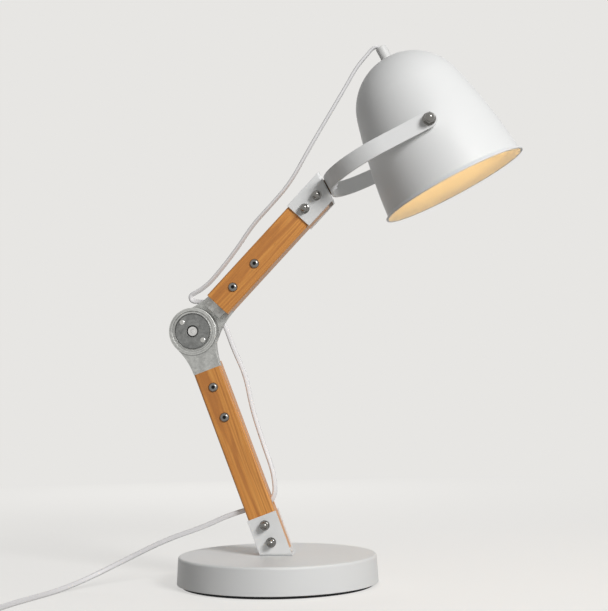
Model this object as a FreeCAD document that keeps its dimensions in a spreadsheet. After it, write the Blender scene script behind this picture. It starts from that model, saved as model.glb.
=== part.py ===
import FreeCAD, Part
import Sketcher
import math
import os

# Adjustable table lamp with two wooden arms, a die-cast elbow and a spun metal shade.
# Frame: origin under the centre of the base, +X towards the head, +Z up, front = -Y, millimetres.
# Every rigid piece is a body or a group of fasteners, bound to the sheet of driving sizes.

SIZES = {
    # round base, from the table up
    "base_diameter": 200.0,
    "base_top_diameter": 197.2,
    "base_height": 29.6,
    "base_edge_round": 2.4,
    "base_sheet": 1.2,
    "pad_diameter": 190.0,
    "pad_thickness": 3.0,
    "plate_diameter": 197.0,
    "plate_thickness": 2.0,
    "weight_diameter": 176.0,
    "weight_thickness": 16.0,
    "weight_chamfer": 3.0,
    "weight_boss_diameter": 58.0,
    "weight_boss_taper": 2.0,
    "weight_hole_depth": 14.0,
    "plate_screw_circle": 140.0,
    "plate_screw_radius": 2.0,
    "plate_screw_length": 10.0,
    "plate_screw_head_radius": 4.0,
    "plate_screw_head_rim": 1.4,
    # how the arms stand, in degrees, and their length from the elbow pin to each bracket's web
    "arm_lean": 20.1,
    "upper_arm_rise": 46.5,
    "yoke_rise": 26.4,
    "lower_reach": 237.3,
    "upper_reach": 198.3,
    # wooden arms
    "wood_width": 28.0,
    "wood_depth": 26.0,
    "wood_round": 2.2,
    "wood_long_start": 36.5,
    "wood_short_start": 42.0,
    "wood_end_gap": 6.5,
    "mortise_end": 105.5,
    "first_arm_screw": 60.0,
    "second_arm_screw": 92.0,
    "cord_hole_place": 186.5,
    "cord_hole_diameter": 8.0,
    # folded sheet brackets, both alike
    "bracket_width": 30.0,
    "bracket_depth": 30.0,
    "bracket_sheet": 2.0,
    "bracket_length": 41.5,
    "bracket_bend": 3.2,
    "near_bracket_screw": 14.0,
    "far_bracket_screw": 31.8,
    "base_screw_spread": 8.0,
    # die-cast elbow
    "hub_radius": 23.75,
    "hub_half_depth": 13.4,
    "friction_gap": 0.8,
    "rim_inner_radius": 20.5,
    "ring_radius": 18.5,
    "ring_depth": 1.4,
    "cover_radius": 17.6,
    "cover_recess": 2.0,
    "cover_thickness": 1.2,
    "well_radius": 10.5,
    "well_depth": 7.9,
    "tongue_start": 27.0,
    "tongue_end": 104.0,
    "tongue_width": 20.0,
    "tongue_depth": 8.0,
    "elbow_bolt_radius": 5.0,
    "elbow_bolt_bore": 2.3,
    "elbow_bolt_end_radius": 4.6,
    "elbow_bolt_flange_radius": 9.2,
    "elbow_bolt_flange": 3.0,
    "elbow_nut_flats": 16.5,
    "elbow_nut_start": 3.3,
    "elbow_nut_gap": 1.4,
    "dished_washer_inner": 4.8,
    "dished_washer_outer": 9.6,
    "dished_washer_sheet": 0.9,
    "dished_washer_rise": 0.6,
    "dished_washer_start": 0.1,
    "dished_washer_pitch": 1.6,
    "friction_disc_margin": 1.2,
    "casting_edge_round": 0.35,
    "cover_edge_round": 0.4,
    "cover_hole_gap": 1.4,
    "cover_thread_depth": 9.0,
    "cover_screw_circle": 13.8,
    "cover_screw_turn": 29.1,
    # yoke strap
    "yoke_half_width": 75.0,
    "yoke_web_half": 12.0,
    "yoke_strap_width": 16.0,
    "yoke_strap_sheet": 2.5,
    "yoke_washer": 1.2,
    "pivot_distance": 114.5,
    "pivot_screw_seat": 64.1,
    "swivel_head_radius": 5.2,
    "swivel_head_height": 3.2,
    "swivel_head_rim": 0.6,
    "swivel_head_dome": 3.9,
    "swivel_bolt_end": 7.5,
    "swivel_washer_radius": 8.5,
    "swivel_nut_flats": 10.0,
    "swivel_nut_height": 5.5,
    # spun shade, heights from the pivot axis
    "rim_drop": 59.0,
    "rim_radius": 76.7,
    "rim_flare_height": 5.0,
    "rim_flare_radius": 6.5,
    "crown_radius": 58.2,
    "crown_centre": 30.5,
    "crown_end_angle": 15.0,
    "side_radius": 560.0,
    "shade_sheet": 1.0,
    "shade_neck_radius": 4.4,
    "rim_lip_inset": 1.6,
    "rim_lip_height": 1.0,
    "spacer_radius": 6.0,
    "spacer_gap": 0.15,
    # cord cap on the crown and the lampholder inside
    "cap_radius": 5.7,
    "cap_top": 102.0,
    "cap_bore": 3.7,
    "cap_edge_round": 0.7,
    "cap_bore_depth": 4.5,
    "cap_sink": 0.14,
    "grub_drop": 7.1,
    "grub_radius": 1.5,
    "grub_length": 1.5,
    "grub_key": 1.5,
    "grub_key_depth": 1.0,
    "nipple_radius": 4.0,
    "nipple_bore": 2.6,
    "holder_radius": 13.6,
    "holder_top": 84.0,
    "holder_mouth": 46.0,
    "holder_nut_flats": 13.0,
    "holder_nut_gap": 0.2,
    "holder_nut_play": 0.6,
    "holder_crown_radius": 7.0,
    "holder_crown_drop": 6.0,
    "holder_crown_round": 8.0,
    "holder_sheet": 2.2,
    "holder_dome_drop": 5.5,
    "holder_dome_round": 9.0,
    "holder_cap_wall": 1.6,
    "holder_cap_length": 12.0,
    "holder_joint_gap": 0.1,
    "socket_drop": 16.0,
    "socket_radius": 8.2,
    "holder_bead": 1.0,
    "holder_bead_height": 2.4,
    "bulb_cap_inner": 5.6,
    "bulb_cap_radius": 6.9,
    "bulb_cap_gap": 0.5,
    "bulb_cap_play": 0.2,
    "bulb_neck_radius": 6.8,
    "bulb_neck_round": 22.0,
    "bulb_neck_gap": 0.3,
    "bulb_neck_turn": 52.0,
    "bulb_radius": 22.5,
    "bulb_tip": -7.0,
    "bulb_wall": 1.2,
    # fasteners
    "screw_radius": 2.5,
    "screw_head_radius": 4.75,
    "screw_head_height": 2.75,
    "screw_key": 3.0,
    "screw_reach": 6.0,
    "base_screw_length": 15.0,
    "washer_radius": 5.0,
    "washer_thickness": 1.0,
    "nut_flats": 8.0,
    "nut_hexagon": 4.0,
    "nut_height": 9.0,
    "cover_screw_radius": 1.3,
    "cover_screw_length": 7.0,
    "cover_screw_head_radius": 2.6,
    "cover_screw_head_height": 1.3,
    "cover_screw_key": 1.4,
    "pivot_screw_radius": 3.0,
    "pivot_screw_reach": 7.0,
    "pivot_head_radius": 5.2,
    "pivot_head_height": 3.0,
    "pivot_key": 4.0,
    "pivot_washer_radius": 6.4,
    "pivot_washer_thickness": 1.2,
    "pivot_nut_flats": 10.0,
    "pivot_nut_hexagon": 5.0,
    "pivot_nut_height": 10.5,
    "hole_clearance": 0.15,
    "running_clearance": 0.06,
    "washer_clearance": 0.1,
    "thread_clearance": 0.05,
    "thread_fit": 0.02,
    "face_gap": 0.05,
    # cord, its coil and what is on it
    "cord_diameter": 4.0,
    "coil_radius": 28.0,
    "coil_width": 15.0,
    "coil_height": 10.0,
    "coil_corner": 3.5,
    "tie_thickness": 0.9,
    "tie_width": 5.0,
    "tie_play": 0.2,
    "coil_setback": 6.0,
    "switch_length": 62.0,
    "switch_width": 23.0,
    "switch_height": 17.0,
    "switch_offset": 15.0,
    "switch_end_half": 5.0,
    "switch_end_slant": 12.0,
    "switch_edge_round": 2.0,
    "rocker_length": 20.0,
    "rocker_width": 12.0,
    "rocker_tilt": 7.0,
    "rocker_axis_drop": 4.0,
    "rocker_end_play": 0.5,
    "rocker_side_play": 0.25,
    "rocker_end_trim": 0.4,
    "rocker_room_depth": 5.5,
    "rocker_flank": 0.5,
    "rocker_keel": 4.5,
    "rocker_horn": 5.2,
    "rocker_waist": 4.0,
    "rocker_hollow": 40.0,
    "trunnion_radius": 1.2,
    "trunnion_reach": 1.5,
    "trunnion_room": 0.5,
    "plug_length": 36.0,
    "plug_width": 35.4,
    "plug_height": 13.6,
    "plug_offset": -18.5,
    "plug_setback": 1.0,
    "plug_shoulder": 12.0,
    "plug_neck_half": 7.0,
    "plug_waist": 60.0,
    "plug_edge_round": 2.5,
    "plug_pin_spread": 9.5,
    "plug_pin_radius": 2.0,
    "plug_pin_length": 19.0,
    "plug_pin_root": 4.0,
    "plug_pin_tip_radius": 1.0,
    "plug_pin_tip": 1.5,
    "relief_length": 20.0,
    "relief_overlap": 4.0,
    "relief_taper_start": 1.0,
    "relief_thick_radius": 5.2,
    "relief_thin_radius": 2.6,
}

FRONT = -1
REAR = 1
CUT_PAST = 1.0
BASE_SCREW_TURNS = (90, 210, 330)

# Shares of a button head's radius or height, and of a domed nut's corner, flats or height.
HEAD_RIM = 0.18
HEAD_TOP = 0.45
HEAD_DOME = 0.75
KEY_DEPTH = 0.6
NUT_DOME = 0.475
NUT_EDGE = 0.93
NUT_CHAMFER = 0.08
NUT_BORE_TIP = 0.75
NUT_BORE_DEPTH = 0.7
NUT_AROUND = 1.5

doc = FreeCAD.newDocument("table_lamp")
sheet = doc.addObject("Spreadsheet::Sheet", "Sizes")
for row, (alias, number) in enumerate(SIZES.items(), start=1):
    sheet.set(f"A{row}", alias)
    sheet.set(f"B{row}", str(number))
    sheet.setAlias(f"B{row}", alias)
doc.recompute()


class Dim:
    """A length or an angle that knows its value and the sheet expression behind it."""

    def __init__(self, value, text):
        self.value = value
        self.text = text

    def __add__(self, other):
        other = as_dim(other)
        return Dim(self.value + other.value, f"({self.text} + {other.text})")

    def __sub__(self, other):
        other = as_dim(other)
        return Dim(self.value - other.value, f"({self.text} - {other.text})")

    def __rsub__(self, other):
        return as_dim(other) - self

    def __mul__(self, other):
        other = as_dim(other)
        return Dim(self.value * other.value, f"({self.text} * {other.text})")

    def __truediv__(self, other):
        other = as_dim(other)
        return Dim(self.value / other.value, f"({self.text} / {other.text})")

    def __neg__(self):
        return Dim(-self.value, f"(-1 * {self.text})")

    __radd__ = __add__
    __rmul__ = __mul__


def as_dim(number):
    """Give a plain number the form of a Dim."""
    return number if isinstance(number, Dim) else Dim(float(number), f"({number})")


def formula(number):
    """The expression that a property is bound to."""
    return as_dim(number).text


def sine(angle):
    return Dim(math.sin(math.radians(angle.value)), f"sin({angle.text} * 1 deg)")


def cosine(angle):
    return Dim(math.cos(math.radians(angle.value)), f"cos({angle.text} * 1 deg)")


def root(dim):
    return Dim(math.sqrt(dim.value), f"sqrt({dim.text})")


class Sheet:
    """The cells of the sheet of sizes, each as a Dim."""

    def __getattr__(self, alias):
        return Dim(SIZES[alias], f"Sizes.{alias}")


size = Sheet()
ZERO = as_dim(0)


class Frame:
    """Where a group of pieces stands: a point and a turn about one axis."""

    def __init__(self, x, z, turn, y=ZERO, axis=(0, 1, 0)):
        self.x = as_dim(x)
        self.y = as_dim(y)
        self.z = as_dim(z)
        self.turn = as_dim(turn)
        self.axis = FreeCAD.Vector(*axis)

    def along(self, reach, rise=ZERO):
        """The point `reach` along the frame's own X and `rise` along its own Z, turned about Y."""
        reach = as_dim(reach)
        rise = as_dim(rise)
        x = self.x + reach * cosine(self.turn) + rise * sine(self.turn)
        z = self.z - reach * sine(self.turn) + rise * cosine(self.turn)
        return x, z

    def put(self, thing):
        """Place an object in this frame and bind the place to the sheet."""
        turn = FreeCAD.Rotation(self.axis, self.turn.value)
        thing.Placement = FreeCAD.Placement(FreeCAD.Vector(self.x.value, self.y.value, self.z.value), turn)
        for name, dim in (("x", self.x), ("y", self.y), ("z", self.z)):
            thing.setExpression(f"Placement.Base.{name}", dim.text)
        thing.setExpression("Placement.Rotation.Angle", formula(self.turn))


HOME = Frame(0, 0, 0)
base_top = Frame(0, size.base_height, 90)
hub_x = -(size.lower_reach * sine(size.arm_lean))
hub_z = size.base_height + size.lower_reach * cosine(size.arm_lean)
lower_frame = Frame(hub_x, hub_z, 90 - size.arm_lean)
upper_frame = Frame(hub_x, hub_z, -size.upper_arm_rise)
web_x, web_z = upper_frame.along(size.upper_reach)
web_frame = Frame(web_x, web_z, -size.yoke_rise)
pivot_x, pivot_z = web_frame.along(size.pivot_distance)
shade_frame = Frame(pivot_x, pivot_z, -size.yoke_rise)
upper_lean = size.upper_arm_rise - size.yoke_rise


# ---- sketches and features -------------------------------------------------------------------

class Corner:
    """A corner of an outline, reached in a straight line or, with a radius, along an arc."""

    def __init__(self, across, up, radius=None, left=True):
        self.across = as_dim(across)
        self.up = as_dim(up)
        self.radius = None if radius is None else as_dim(radius)
        self.left = left

    def point(self):
        return FreeCAD.Vector(self.across.value, self.up.value, 0)


def new_body(label, frame):
    body = doc.addObject("PartDesign::Body", label)
    body.Label = label
    frame.put(body)
    return body


def new_sketch(body, name, plane, lift=ZERO):
    """Add a sketch on one of the body's own origin planes, lifted along the plane's normal."""
    sketch = body.newObject("Sketcher::SketchObject", name)
    support = [item for item in body.Origin.OriginFeatures if item.Role == plane][0]
    sketch.AttachmentSupport = [(support, "")]
    sketch.MapMode = "FlatFace"
    sketch.setExpression("AttachmentOffset.Base.z", formula(lift))
    return sketch


def constrain(sketch, dim, *terms):
    """Add one dimension to a sketch and bind it to the sheet."""
    index = sketch.addConstraint(Sketcher.Constraint(*terms, dim.value))
    sketch.setExpression(f"Constraints[{index}]", formula(dim))


def arc_between(start, end, radius, left):
    """The shorter arc from start to end, and whether a sketch keeps it start to end."""
    chord = end - start
    height = math.sqrt(max(radius ** 2 - (chord.Length / 2) ** 2, 0))
    normal = FreeCAD.Vector(-chord.y, chord.x, 0).normalize() * (1 if left else -1)
    centre = (start + end) * 0.5 + normal * height
    first, last = (start, end) if left else (end, start)
    angles = [math.atan2(point.y - centre.y, point.x - centre.x) for point in (first, last)]
    circle = Part.Circle(centre, FreeCAD.Vector(0, 0, 1), radius)
    return Part.ArcOfCircle(circle, angles[0], angles[1])


def draw_outline(sketch, corners):
    """Draw one closed outline and hold every corner and radius."""
    drawn = []
    for start, end in zip(corners[-1:] + corners[:-1], corners):
        if end.radius is None:
            shape = sketch.addGeometry(Part.LineSegment(start.point(), end.point()))
            ends = (1, 2)
        else:
            arc = arc_between(start.point(), end.point(), end.radius.value, end.left)
            shape = sketch.addGeometry(arc)
            ends = (1, 2) if end.left else (2, 1)
            constrain(sketch, end.radius, "Radius", shape)
        drawn.append((shape, ends))
    for (shape, ends), (following, next_ends), corner in zip(drawn, drawn[1:] + drawn[:1], corners):
        sketch.addConstraint(Sketcher.Constraint("Coincident", shape, ends[1], following, next_ends[0]))
        constrain(sketch, corner.across, "DistanceX", -1, 1, shape, ends[1])
        constrain(sketch, corner.up, "DistanceY", -1, 1, shape, ends[1])


def draw_circle(sketch, radius, across=ZERO, up=ZERO):
    radius, across, up = as_dim(radius), as_dim(across), as_dim(up)
    centre = FreeCAD.Vector(across.value, up.value, 0)
    shape = sketch.addGeometry(Part.Circle(centre, FreeCAD.Vector(0, 0, 1), radius.value))
    constrain(sketch, radius, "Radius", shape)
    constrain(sketch, across, "DistanceX", -1, 1, shape, 3)
    constrain(sketch, up, "DistanceY", -1, 1, shape, 3)


def box_outline(low_across, high_across, low_up, high_up):
    return [Corner(low_across, low_up), Corner(high_across, low_up),
            Corner(high_across, high_up), Corner(low_across, high_up)]


def hexagon(across_flats):
    """A hexagon's corners, two of them on the horizontal axis."""
    corner = across_flats / 3 ** 0.5
    return [Corner(corner * cosine(as_dim(turn)), corner * sine(as_dim(turn)))
            for turn in range(0, 360, 60)]


def pad(body, sketch, length, symmetric=False, reverse=False):
    feature = body.newObject("PartDesign::Pad", sketch.Name + "_pad")
    feature.Profile = sketch
    feature.SideType = "Symmetric" if symmetric else "One side"
    feature.Reversed = reverse
    feature.setExpression("Length", formula(length))
    body.Tip = feature
    return feature


def cut(body, kind, sketch, length=None, symmetric=False, reverse=False):
    """Pocket or groove the body and make sure that material really went."""
    doc.recompute()
    before = body.Shape.Volume
    feature = body.newObject(f"PartDesign::{kind}", sketch.Name + "_cut")
    feature.Profile = sketch
    if kind == "Pocket":
        feature.SideType = "Symmetric" if symmetric else "One side"
        feature.setExpression("Length", formula(length))
    else:
        feature.ReferenceAxis = (sketch, ["V_Axis"])
        feature.Angle = 360
    feature.Reversed = reverse
    body.Tip = feature
    doc.recompute()
    if before - body.Shape.Volume < 0.01:
        raise RuntimeError(f"{body.Label}: {sketch.Name} cuts nothing")
    return feature


def revolve(body, sketch):
    """Turn a sketch about its own vertical axis."""
    feature = body.newObject("PartDesign::Revolution", sketch.Name + "_turn")
    feature.Profile = sketch
    feature.ReferenceAxis = (sketch, ["V_Axis"])
    feature.Angle = 360
    body.Tip = feature
    return feature


def round_edges(body, test, radius, kind="Fillet"):
    """Fillet or chamfer the edges of the body's last feature that pass the test."""
    doc.recompute()
    base = body.Tip
    names = [f"Edge{number}" for number, edge in enumerate(base.Shape.Edges, start=1) if test(edge)]
    feature = body.newObject(f"PartDesign::{kind}", f"{body.Name}_{kind.lower()}")
    feature.Base = (base, names)
    feature.setExpression("Radius" if kind == "Fillet" else "Size", formula(radius))
    body.Tip = feature
    return feature


def runs_along(edge, axis, **places):
    """Whether a straight edge is parallel to an axis and lies at the given places."""
    if edge.Curve.TypeId != "Part::GeomLine":
        return False
    first, last = edge.Vertexes[0].Point, edge.Vertexes[-1].Point
    if abs(abs(getattr((last - first).normalize(), axis)) - 1) > 0.001:
        return False
    middle = (first + last) * 0.5
    return all(abs(abs(getattr(middle, name)) - place) < 0.01 for name, place in places.items())


def ring_edge(edge, radius, **places):
    """Whether an edge is a circle of this radius at the given places."""
    if edge.Curve.TypeId != "Part::GeomCircle" or abs(edge.Curve.Radius - radius) > 0.01:
        return False
    return all(abs(abs(getattr(edge.Curve.Center, name)) - place) < 0.01 for name, place in places.items())


def turned(label, frame, corners, plane="XZ_Plane"):
    """A turned piece: about the frame's Z from an XZ outline, or about its Y from an XY one."""
    body = new_body(label, frame)
    sketch = new_sketch(body, label + "_outline", plane)
    draw_outline(sketch, corners)
    revolve(body, sketch)
    return body


def ring(label, frame, inner, outer, low, high, plane="XZ_Plane"):
    return turned(label, frame, box_outline(inner, outer, low, high), plane)


# ---- fasteners: each kind is made once, standing on its seat with its axis along Z ------------

def button_screw(name, radius, length, head_radius, head_height, key):
    """A domed socket screw: shank below the seat, head above it."""
    body = turned(name, HOME, [
        Corner(0, -length), Corner(radius, -length), Corner(radius, 0), Corner(head_radius, 0),
        Corner(head_radius, head_height * HEAD_RIM),
        Corner(head_radius * HEAD_TOP, head_height, head_radius * HEAD_DOME), Corner(0, head_height)])
    socket = new_sketch(body, name + "_socket", "XY_Plane", head_height)
    draw_outline(socket, hexagon(key))
    cut(body, "Pocket", socket, head_height * KEY_DEPTH)
    return body


def cap_nut(name, bore, across_flats, hex_height, total_height):
    """A domed nut: a hexagon with chamfered corners under a round dome."""
    corner = across_flats / 3 ** 0.5
    dome = across_flats * NUT_DOME
    rise = total_height - hex_height
    dome_radius = (rise * rise + dome * dome) / (rise * 2)
    body = turned(name, HOME, [
        Corner(bore, 0), Corner(corner * NUT_EDGE, 0), Corner(corner, corner * NUT_CHAMFER),
        Corner(corner, hex_height - corner * NUT_CHAMFER), Corner(dome, hex_height),
        Corner(0, total_height, dome_radius),
        Corner(0, total_height * NUT_BORE_TIP), Corner(bore, total_height * NUT_BORE_DEPTH)])
    flats = new_sketch(body, name + "_flats", "XY_Plane")
    draw_outline(flats, hexagon(across_flats))
    draw_circle(flats, corner * NUT_AROUND)
    cut(body, "Pocket", flats, total_height, reverse=True)
    return body


def hex_nut(name, bore, across_flats, height):
    body = new_body(name, HOME)
    sketch = new_sketch(body, name + "_outline", "XY_Plane")
    draw_outline(sketch, hexagon(across_flats))
    draw_circle(sketch, bore)
    pad(body, sketch, height)
    return body


TURNS = {"front": ((1, 0, 0), 90), "rear": ((1, 0, 0), -90), "up": ((1, 0, 0), 0),
         "down": ((1, 0, 0), 180), "outward": ((0, 1, 0), 90), "inward": ((0, 1, 0), -90)}


def fastener_set(label, frame, kind, seats):
    """Copies of one fastener, each at a seat (along, across, up) that faces one way."""
    copies = []
    for number, (along, across, up, facing) in enumerate(seats, start=1):
        copy = doc.addObject("App::Link", f"{label}_{number}")
        copy.LinkedObject = kind
        axis, turn = TURNS[facing]
        Frame(along, up, turn, across, axis).put(copy)
        copies.append(copy)
    group = doc.addObject("Part::Compound", label)
    group.Label = label
    group.Links = copies
    frame.put(group)
    return group


# ---- base -------------------------------------------------------------------------------------

def make_base():
    outer = size.base_diameter / 2
    top = size.base_top_diameter / 2
    wall = size.base_sheet
    inner_top = size.base_height - wall
    ring("base_pad", HOME, 0, size.pad_diameter / 2, 0, size.pad_thickness)
    plate_top = size.pad_thickness + size.plate_thickness
    ring("base_plate", HOME, 0, size.plate_diameter / 2, size.pad_thickness, plate_top)
    bend = size.base_edge_round
    cover = turned("base_cover", HOME, [
        Corner(outer, size.pad_thickness), Corner(top, size.base_height - bend),
        Corner(top - bend, size.base_height, bend), Corner(0, size.base_height),
        Corner(0, inner_top), Corner(top - bend, inner_top),
        Corner(top - wall, size.base_height - bend, bend - wall, left=False),
        Corner(outer - wall, size.pad_thickness)])
    cover_holes = new_sketch(cover, "cover_holes", "XY_Plane", size.base_height)
    weight_top = plate_top + size.weight_thickness
    weight = turned("base_weight", HOME, [
        Corner(0, plate_top), Corner(size.weight_diameter / 2, plate_top),
        Corner(size.weight_diameter / 2, weight_top - size.weight_chamfer),
        Corner(size.weight_diameter / 2 - size.weight_chamfer, weight_top),
        Corner(size.weight_boss_diameter / 2 + size.weight_boss_taper, weight_top),
        Corner(size.weight_boss_diameter / 2, inner_top), Corner(0, inner_top)])
    weight_holes = new_sketch(weight, "weight_holes", "XY_Plane", inner_top)
    for place in (-size.base_screw_spread, size.base_screw_spread):
        draw_circle(cover_holes, size.screw_radius + size.hole_clearance, place)
        draw_circle(weight_holes, size.screw_radius + size.thread_fit, place)
    cut(cover, "Pocket", cover_holes, wall)
    cut(weight, "Pocket", weight_holes, size.weight_hole_depth)
    plate_holes = new_sketch(weight, "plate_holes", "XY_Plane", plate_top)
    plate_seats = []
    for turn in BASE_SCREW_TURNS:
        across = size.plate_screw_circle / 2 * cosine(as_dim(turn))
        up = size.plate_screw_circle / 2 * sine(as_dim(turn))
        draw_circle(plate_holes, size.plate_screw_radius + size.thread_fit, across, up)
        plate_seats.append((across, up))
    cut(weight, "Pocket", plate_holes, size.plate_screw_length, reverse=True)
    plate = doc.getObject("base_plate")
    sinks = new_sketch(plate, "plate_sinks", "XY_Plane", plate_top)
    for across, up in plate_seats:
        draw_circle(sinks, size.plate_screw_head_radius + size.hole_clearance, across, up)
    cut(plate, "Pocket", sinks, size.plate_thickness)
    flat_screw = turned("flat_screw", HOME, [
        Corner(0, -size.plate_screw_length), Corner(size.plate_screw_radius, -size.plate_screw_length),
        Corner(size.plate_screw_radius, -size.plate_thickness),
        Corner(size.plate_screw_head_radius, -size.plate_screw_head_rim),
        Corner(size.plate_screw_head_radius, 0), Corner(0, 0)])
    seats = [(across, up, size.pad_thickness, "down") for across, up in plate_seats]
    fastener_set("base_plate_screws", HOME, flat_screw, seats)


# ---- brackets ---------------------------------------------------------------------------------

def bracket_place(lean, distance, offset=ZERO):
    """A point in a web's frame: back along the arm from the web's middle, and off its centre line."""
    back = -(distance * cosine(lean)) - offset * sine(lean)
    rise = -(distance * sine(lean)) + offset * cosine(lean)
    return back, rise


def make_bracket(label, frame, lean, web_holes):
    """A channel folded from sheet: a web across the arm's end and two slanted cheeks."""
    body = new_body(label, frame)
    half = size.bracket_width / 2
    web_half = half / cosine(lean)
    side = new_sketch(body, label + "_side", "XZ_Plane")
    draw_outline(side, [
        Corner(0, -web_half), Corner(0, web_half),
        Corner(*bracket_place(lean, size.bracket_length, half)),
        Corner(*bracket_place(lean, size.bracket_length, -half))])
    pad(body, side, size.bracket_depth, symmetric=True)
    outer = size.bracket_depth.value / 2
    round_edges(body, lambda edge: runs_along(edge, "z", x=0, y=outer), size.bracket_bend)
    channel = new_sketch(body, label + "_channel", "XY_Plane")
    inside = size.bracket_depth / 2 - size.bracket_sheet
    bend = size.bracket_bend - size.bracket_sheet
    web = -size.bracket_sheet
    far = -size.bracket_length - size.bracket_width
    draw_outline(channel, [
        Corner(far, -inside), Corner(web - bend, -inside), Corner(web, bend - inside, bend),
        Corner(web, inside - bend), Corner(web - bend, inside, bend), Corner(far, inside)])
    cut(body, "Pocket", channel, size.bracket_length * 2 + size.bracket_width, symmetric=True)
    cheeks = new_sketch(body, label + "_cheek_holes", "XZ_Plane")
    for distance in (size.near_bracket_screw, size.far_bracket_screw):
        draw_circle(cheeks, size.screw_radius + size.hole_clearance, *bracket_place(lean, distance))
    cut(body, "Pocket", cheeks, size.bracket_depth + CUT_PAST, symmetric=True)
    web_sketch = new_sketch(body, label + "_web_holes", "YZ_Plane")
    for rise, radius in web_holes:
        draw_circle(web_sketch, radius + size.hole_clearance, 0, rise)
    cut(body, "Pocket", web_sketch, size.bracket_sheet + CUT_PAST)
    return body


def bracket_fasteners(prefix, frame, lean, kinds):
    """Screws from the rear through cheek, wood and cheek, washers and domed nuts in front."""
    half = size.bracket_depth / 2
    distances = (size.near_bracket_screw, size.far_bracket_screw)
    places = [bracket_place(lean, distance) for distance in distances]
    fastener_set(prefix + "_bracket_screws", frame, kinds["bracket_screw"],
                 [(back, half, rise, "rear") for back, rise in places])
    fastener_set(prefix + "_bracket_washers", frame, kinds["washer"],
                 [(back, -half, rise, "front") for back, rise in places])
    fastener_set(prefix + "_bracket_cap_nuts", frame, kinds["cap_nut"],
                 [(back, -half - size.washer_thickness, rise, "front") for back, rise in places])


# ---- arms and elbow -----------------------------------------------------------------------------

def make_arm(label, frame, side, reach, lean, cord_hole):
    """A wooden stick with a lapped front end, a mortise for the casting and a slanted far end."""
    body = new_body(label, frame)
    half = size.wood_width / 2
    slope = sine(lean) / cosine(lean)
    end = reach - size.wood_end_gap / cosine(lean)
    outline = new_sketch(body, label + "_outline", "XZ_Plane")
    draw_outline(outline, [
        Corner(size.wood_long_start, -half), Corner(end - half * slope, -half),
        Corner(end + half * slope, half), Corner(size.wood_long_start, half)])
    pad(body, outline, size.wood_depth, symmetric=True)
    corner_y = size.wood_depth.value / 2
    round_edges(body, lambda edge: runs_along(edge, "x", y=corner_y, z=half.value), size.wood_round)
    lap = new_sketch(body, label + "_lap", "XZ_Plane")
    past = half + CUT_PAST
    draw_outline(lap, box_outline(size.wood_long_start - CUT_PAST, size.wood_short_start, -past, past))
    cut(body, "Pocket", lap, size.wood_depth, reverse=side == FRONT)
    mortise = new_sketch(body, label + "_mortise", "YZ_Plane")
    slot = size.tongue_depth / 2 + size.hole_clearance
    cheek = size.tongue_width / 2 + size.hole_clearance
    draw_outline(mortise, box_outline(-slot, slot, -cheek, cheek))
    cut(body, "Pocket", mortise, size.mortise_end, reverse=True)
    holes = new_sketch(body, label + "_screw_holes", "XZ_Plane")
    for place in (size.first_arm_screw, size.second_arm_screw,
                  reach - size.far_bracket_screw, reach - size.near_bracket_screw):
        draw_circle(holes, size.screw_radius + size.hole_clearance, place)
    cut(body, "Pocket", holes, size.wood_depth + CUT_PAST, symmetric=True)
    if cord_hole:
        hole = new_sketch(body, label + "_cord_hole", "XY_Plane")
        draw_circle(hole, size.cord_hole_diameter / 2, size.cord_hole_place)
        cut(body, "Pocket", hole, size.wood_width + CUT_PAST, symmetric=True)
    return body


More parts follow.
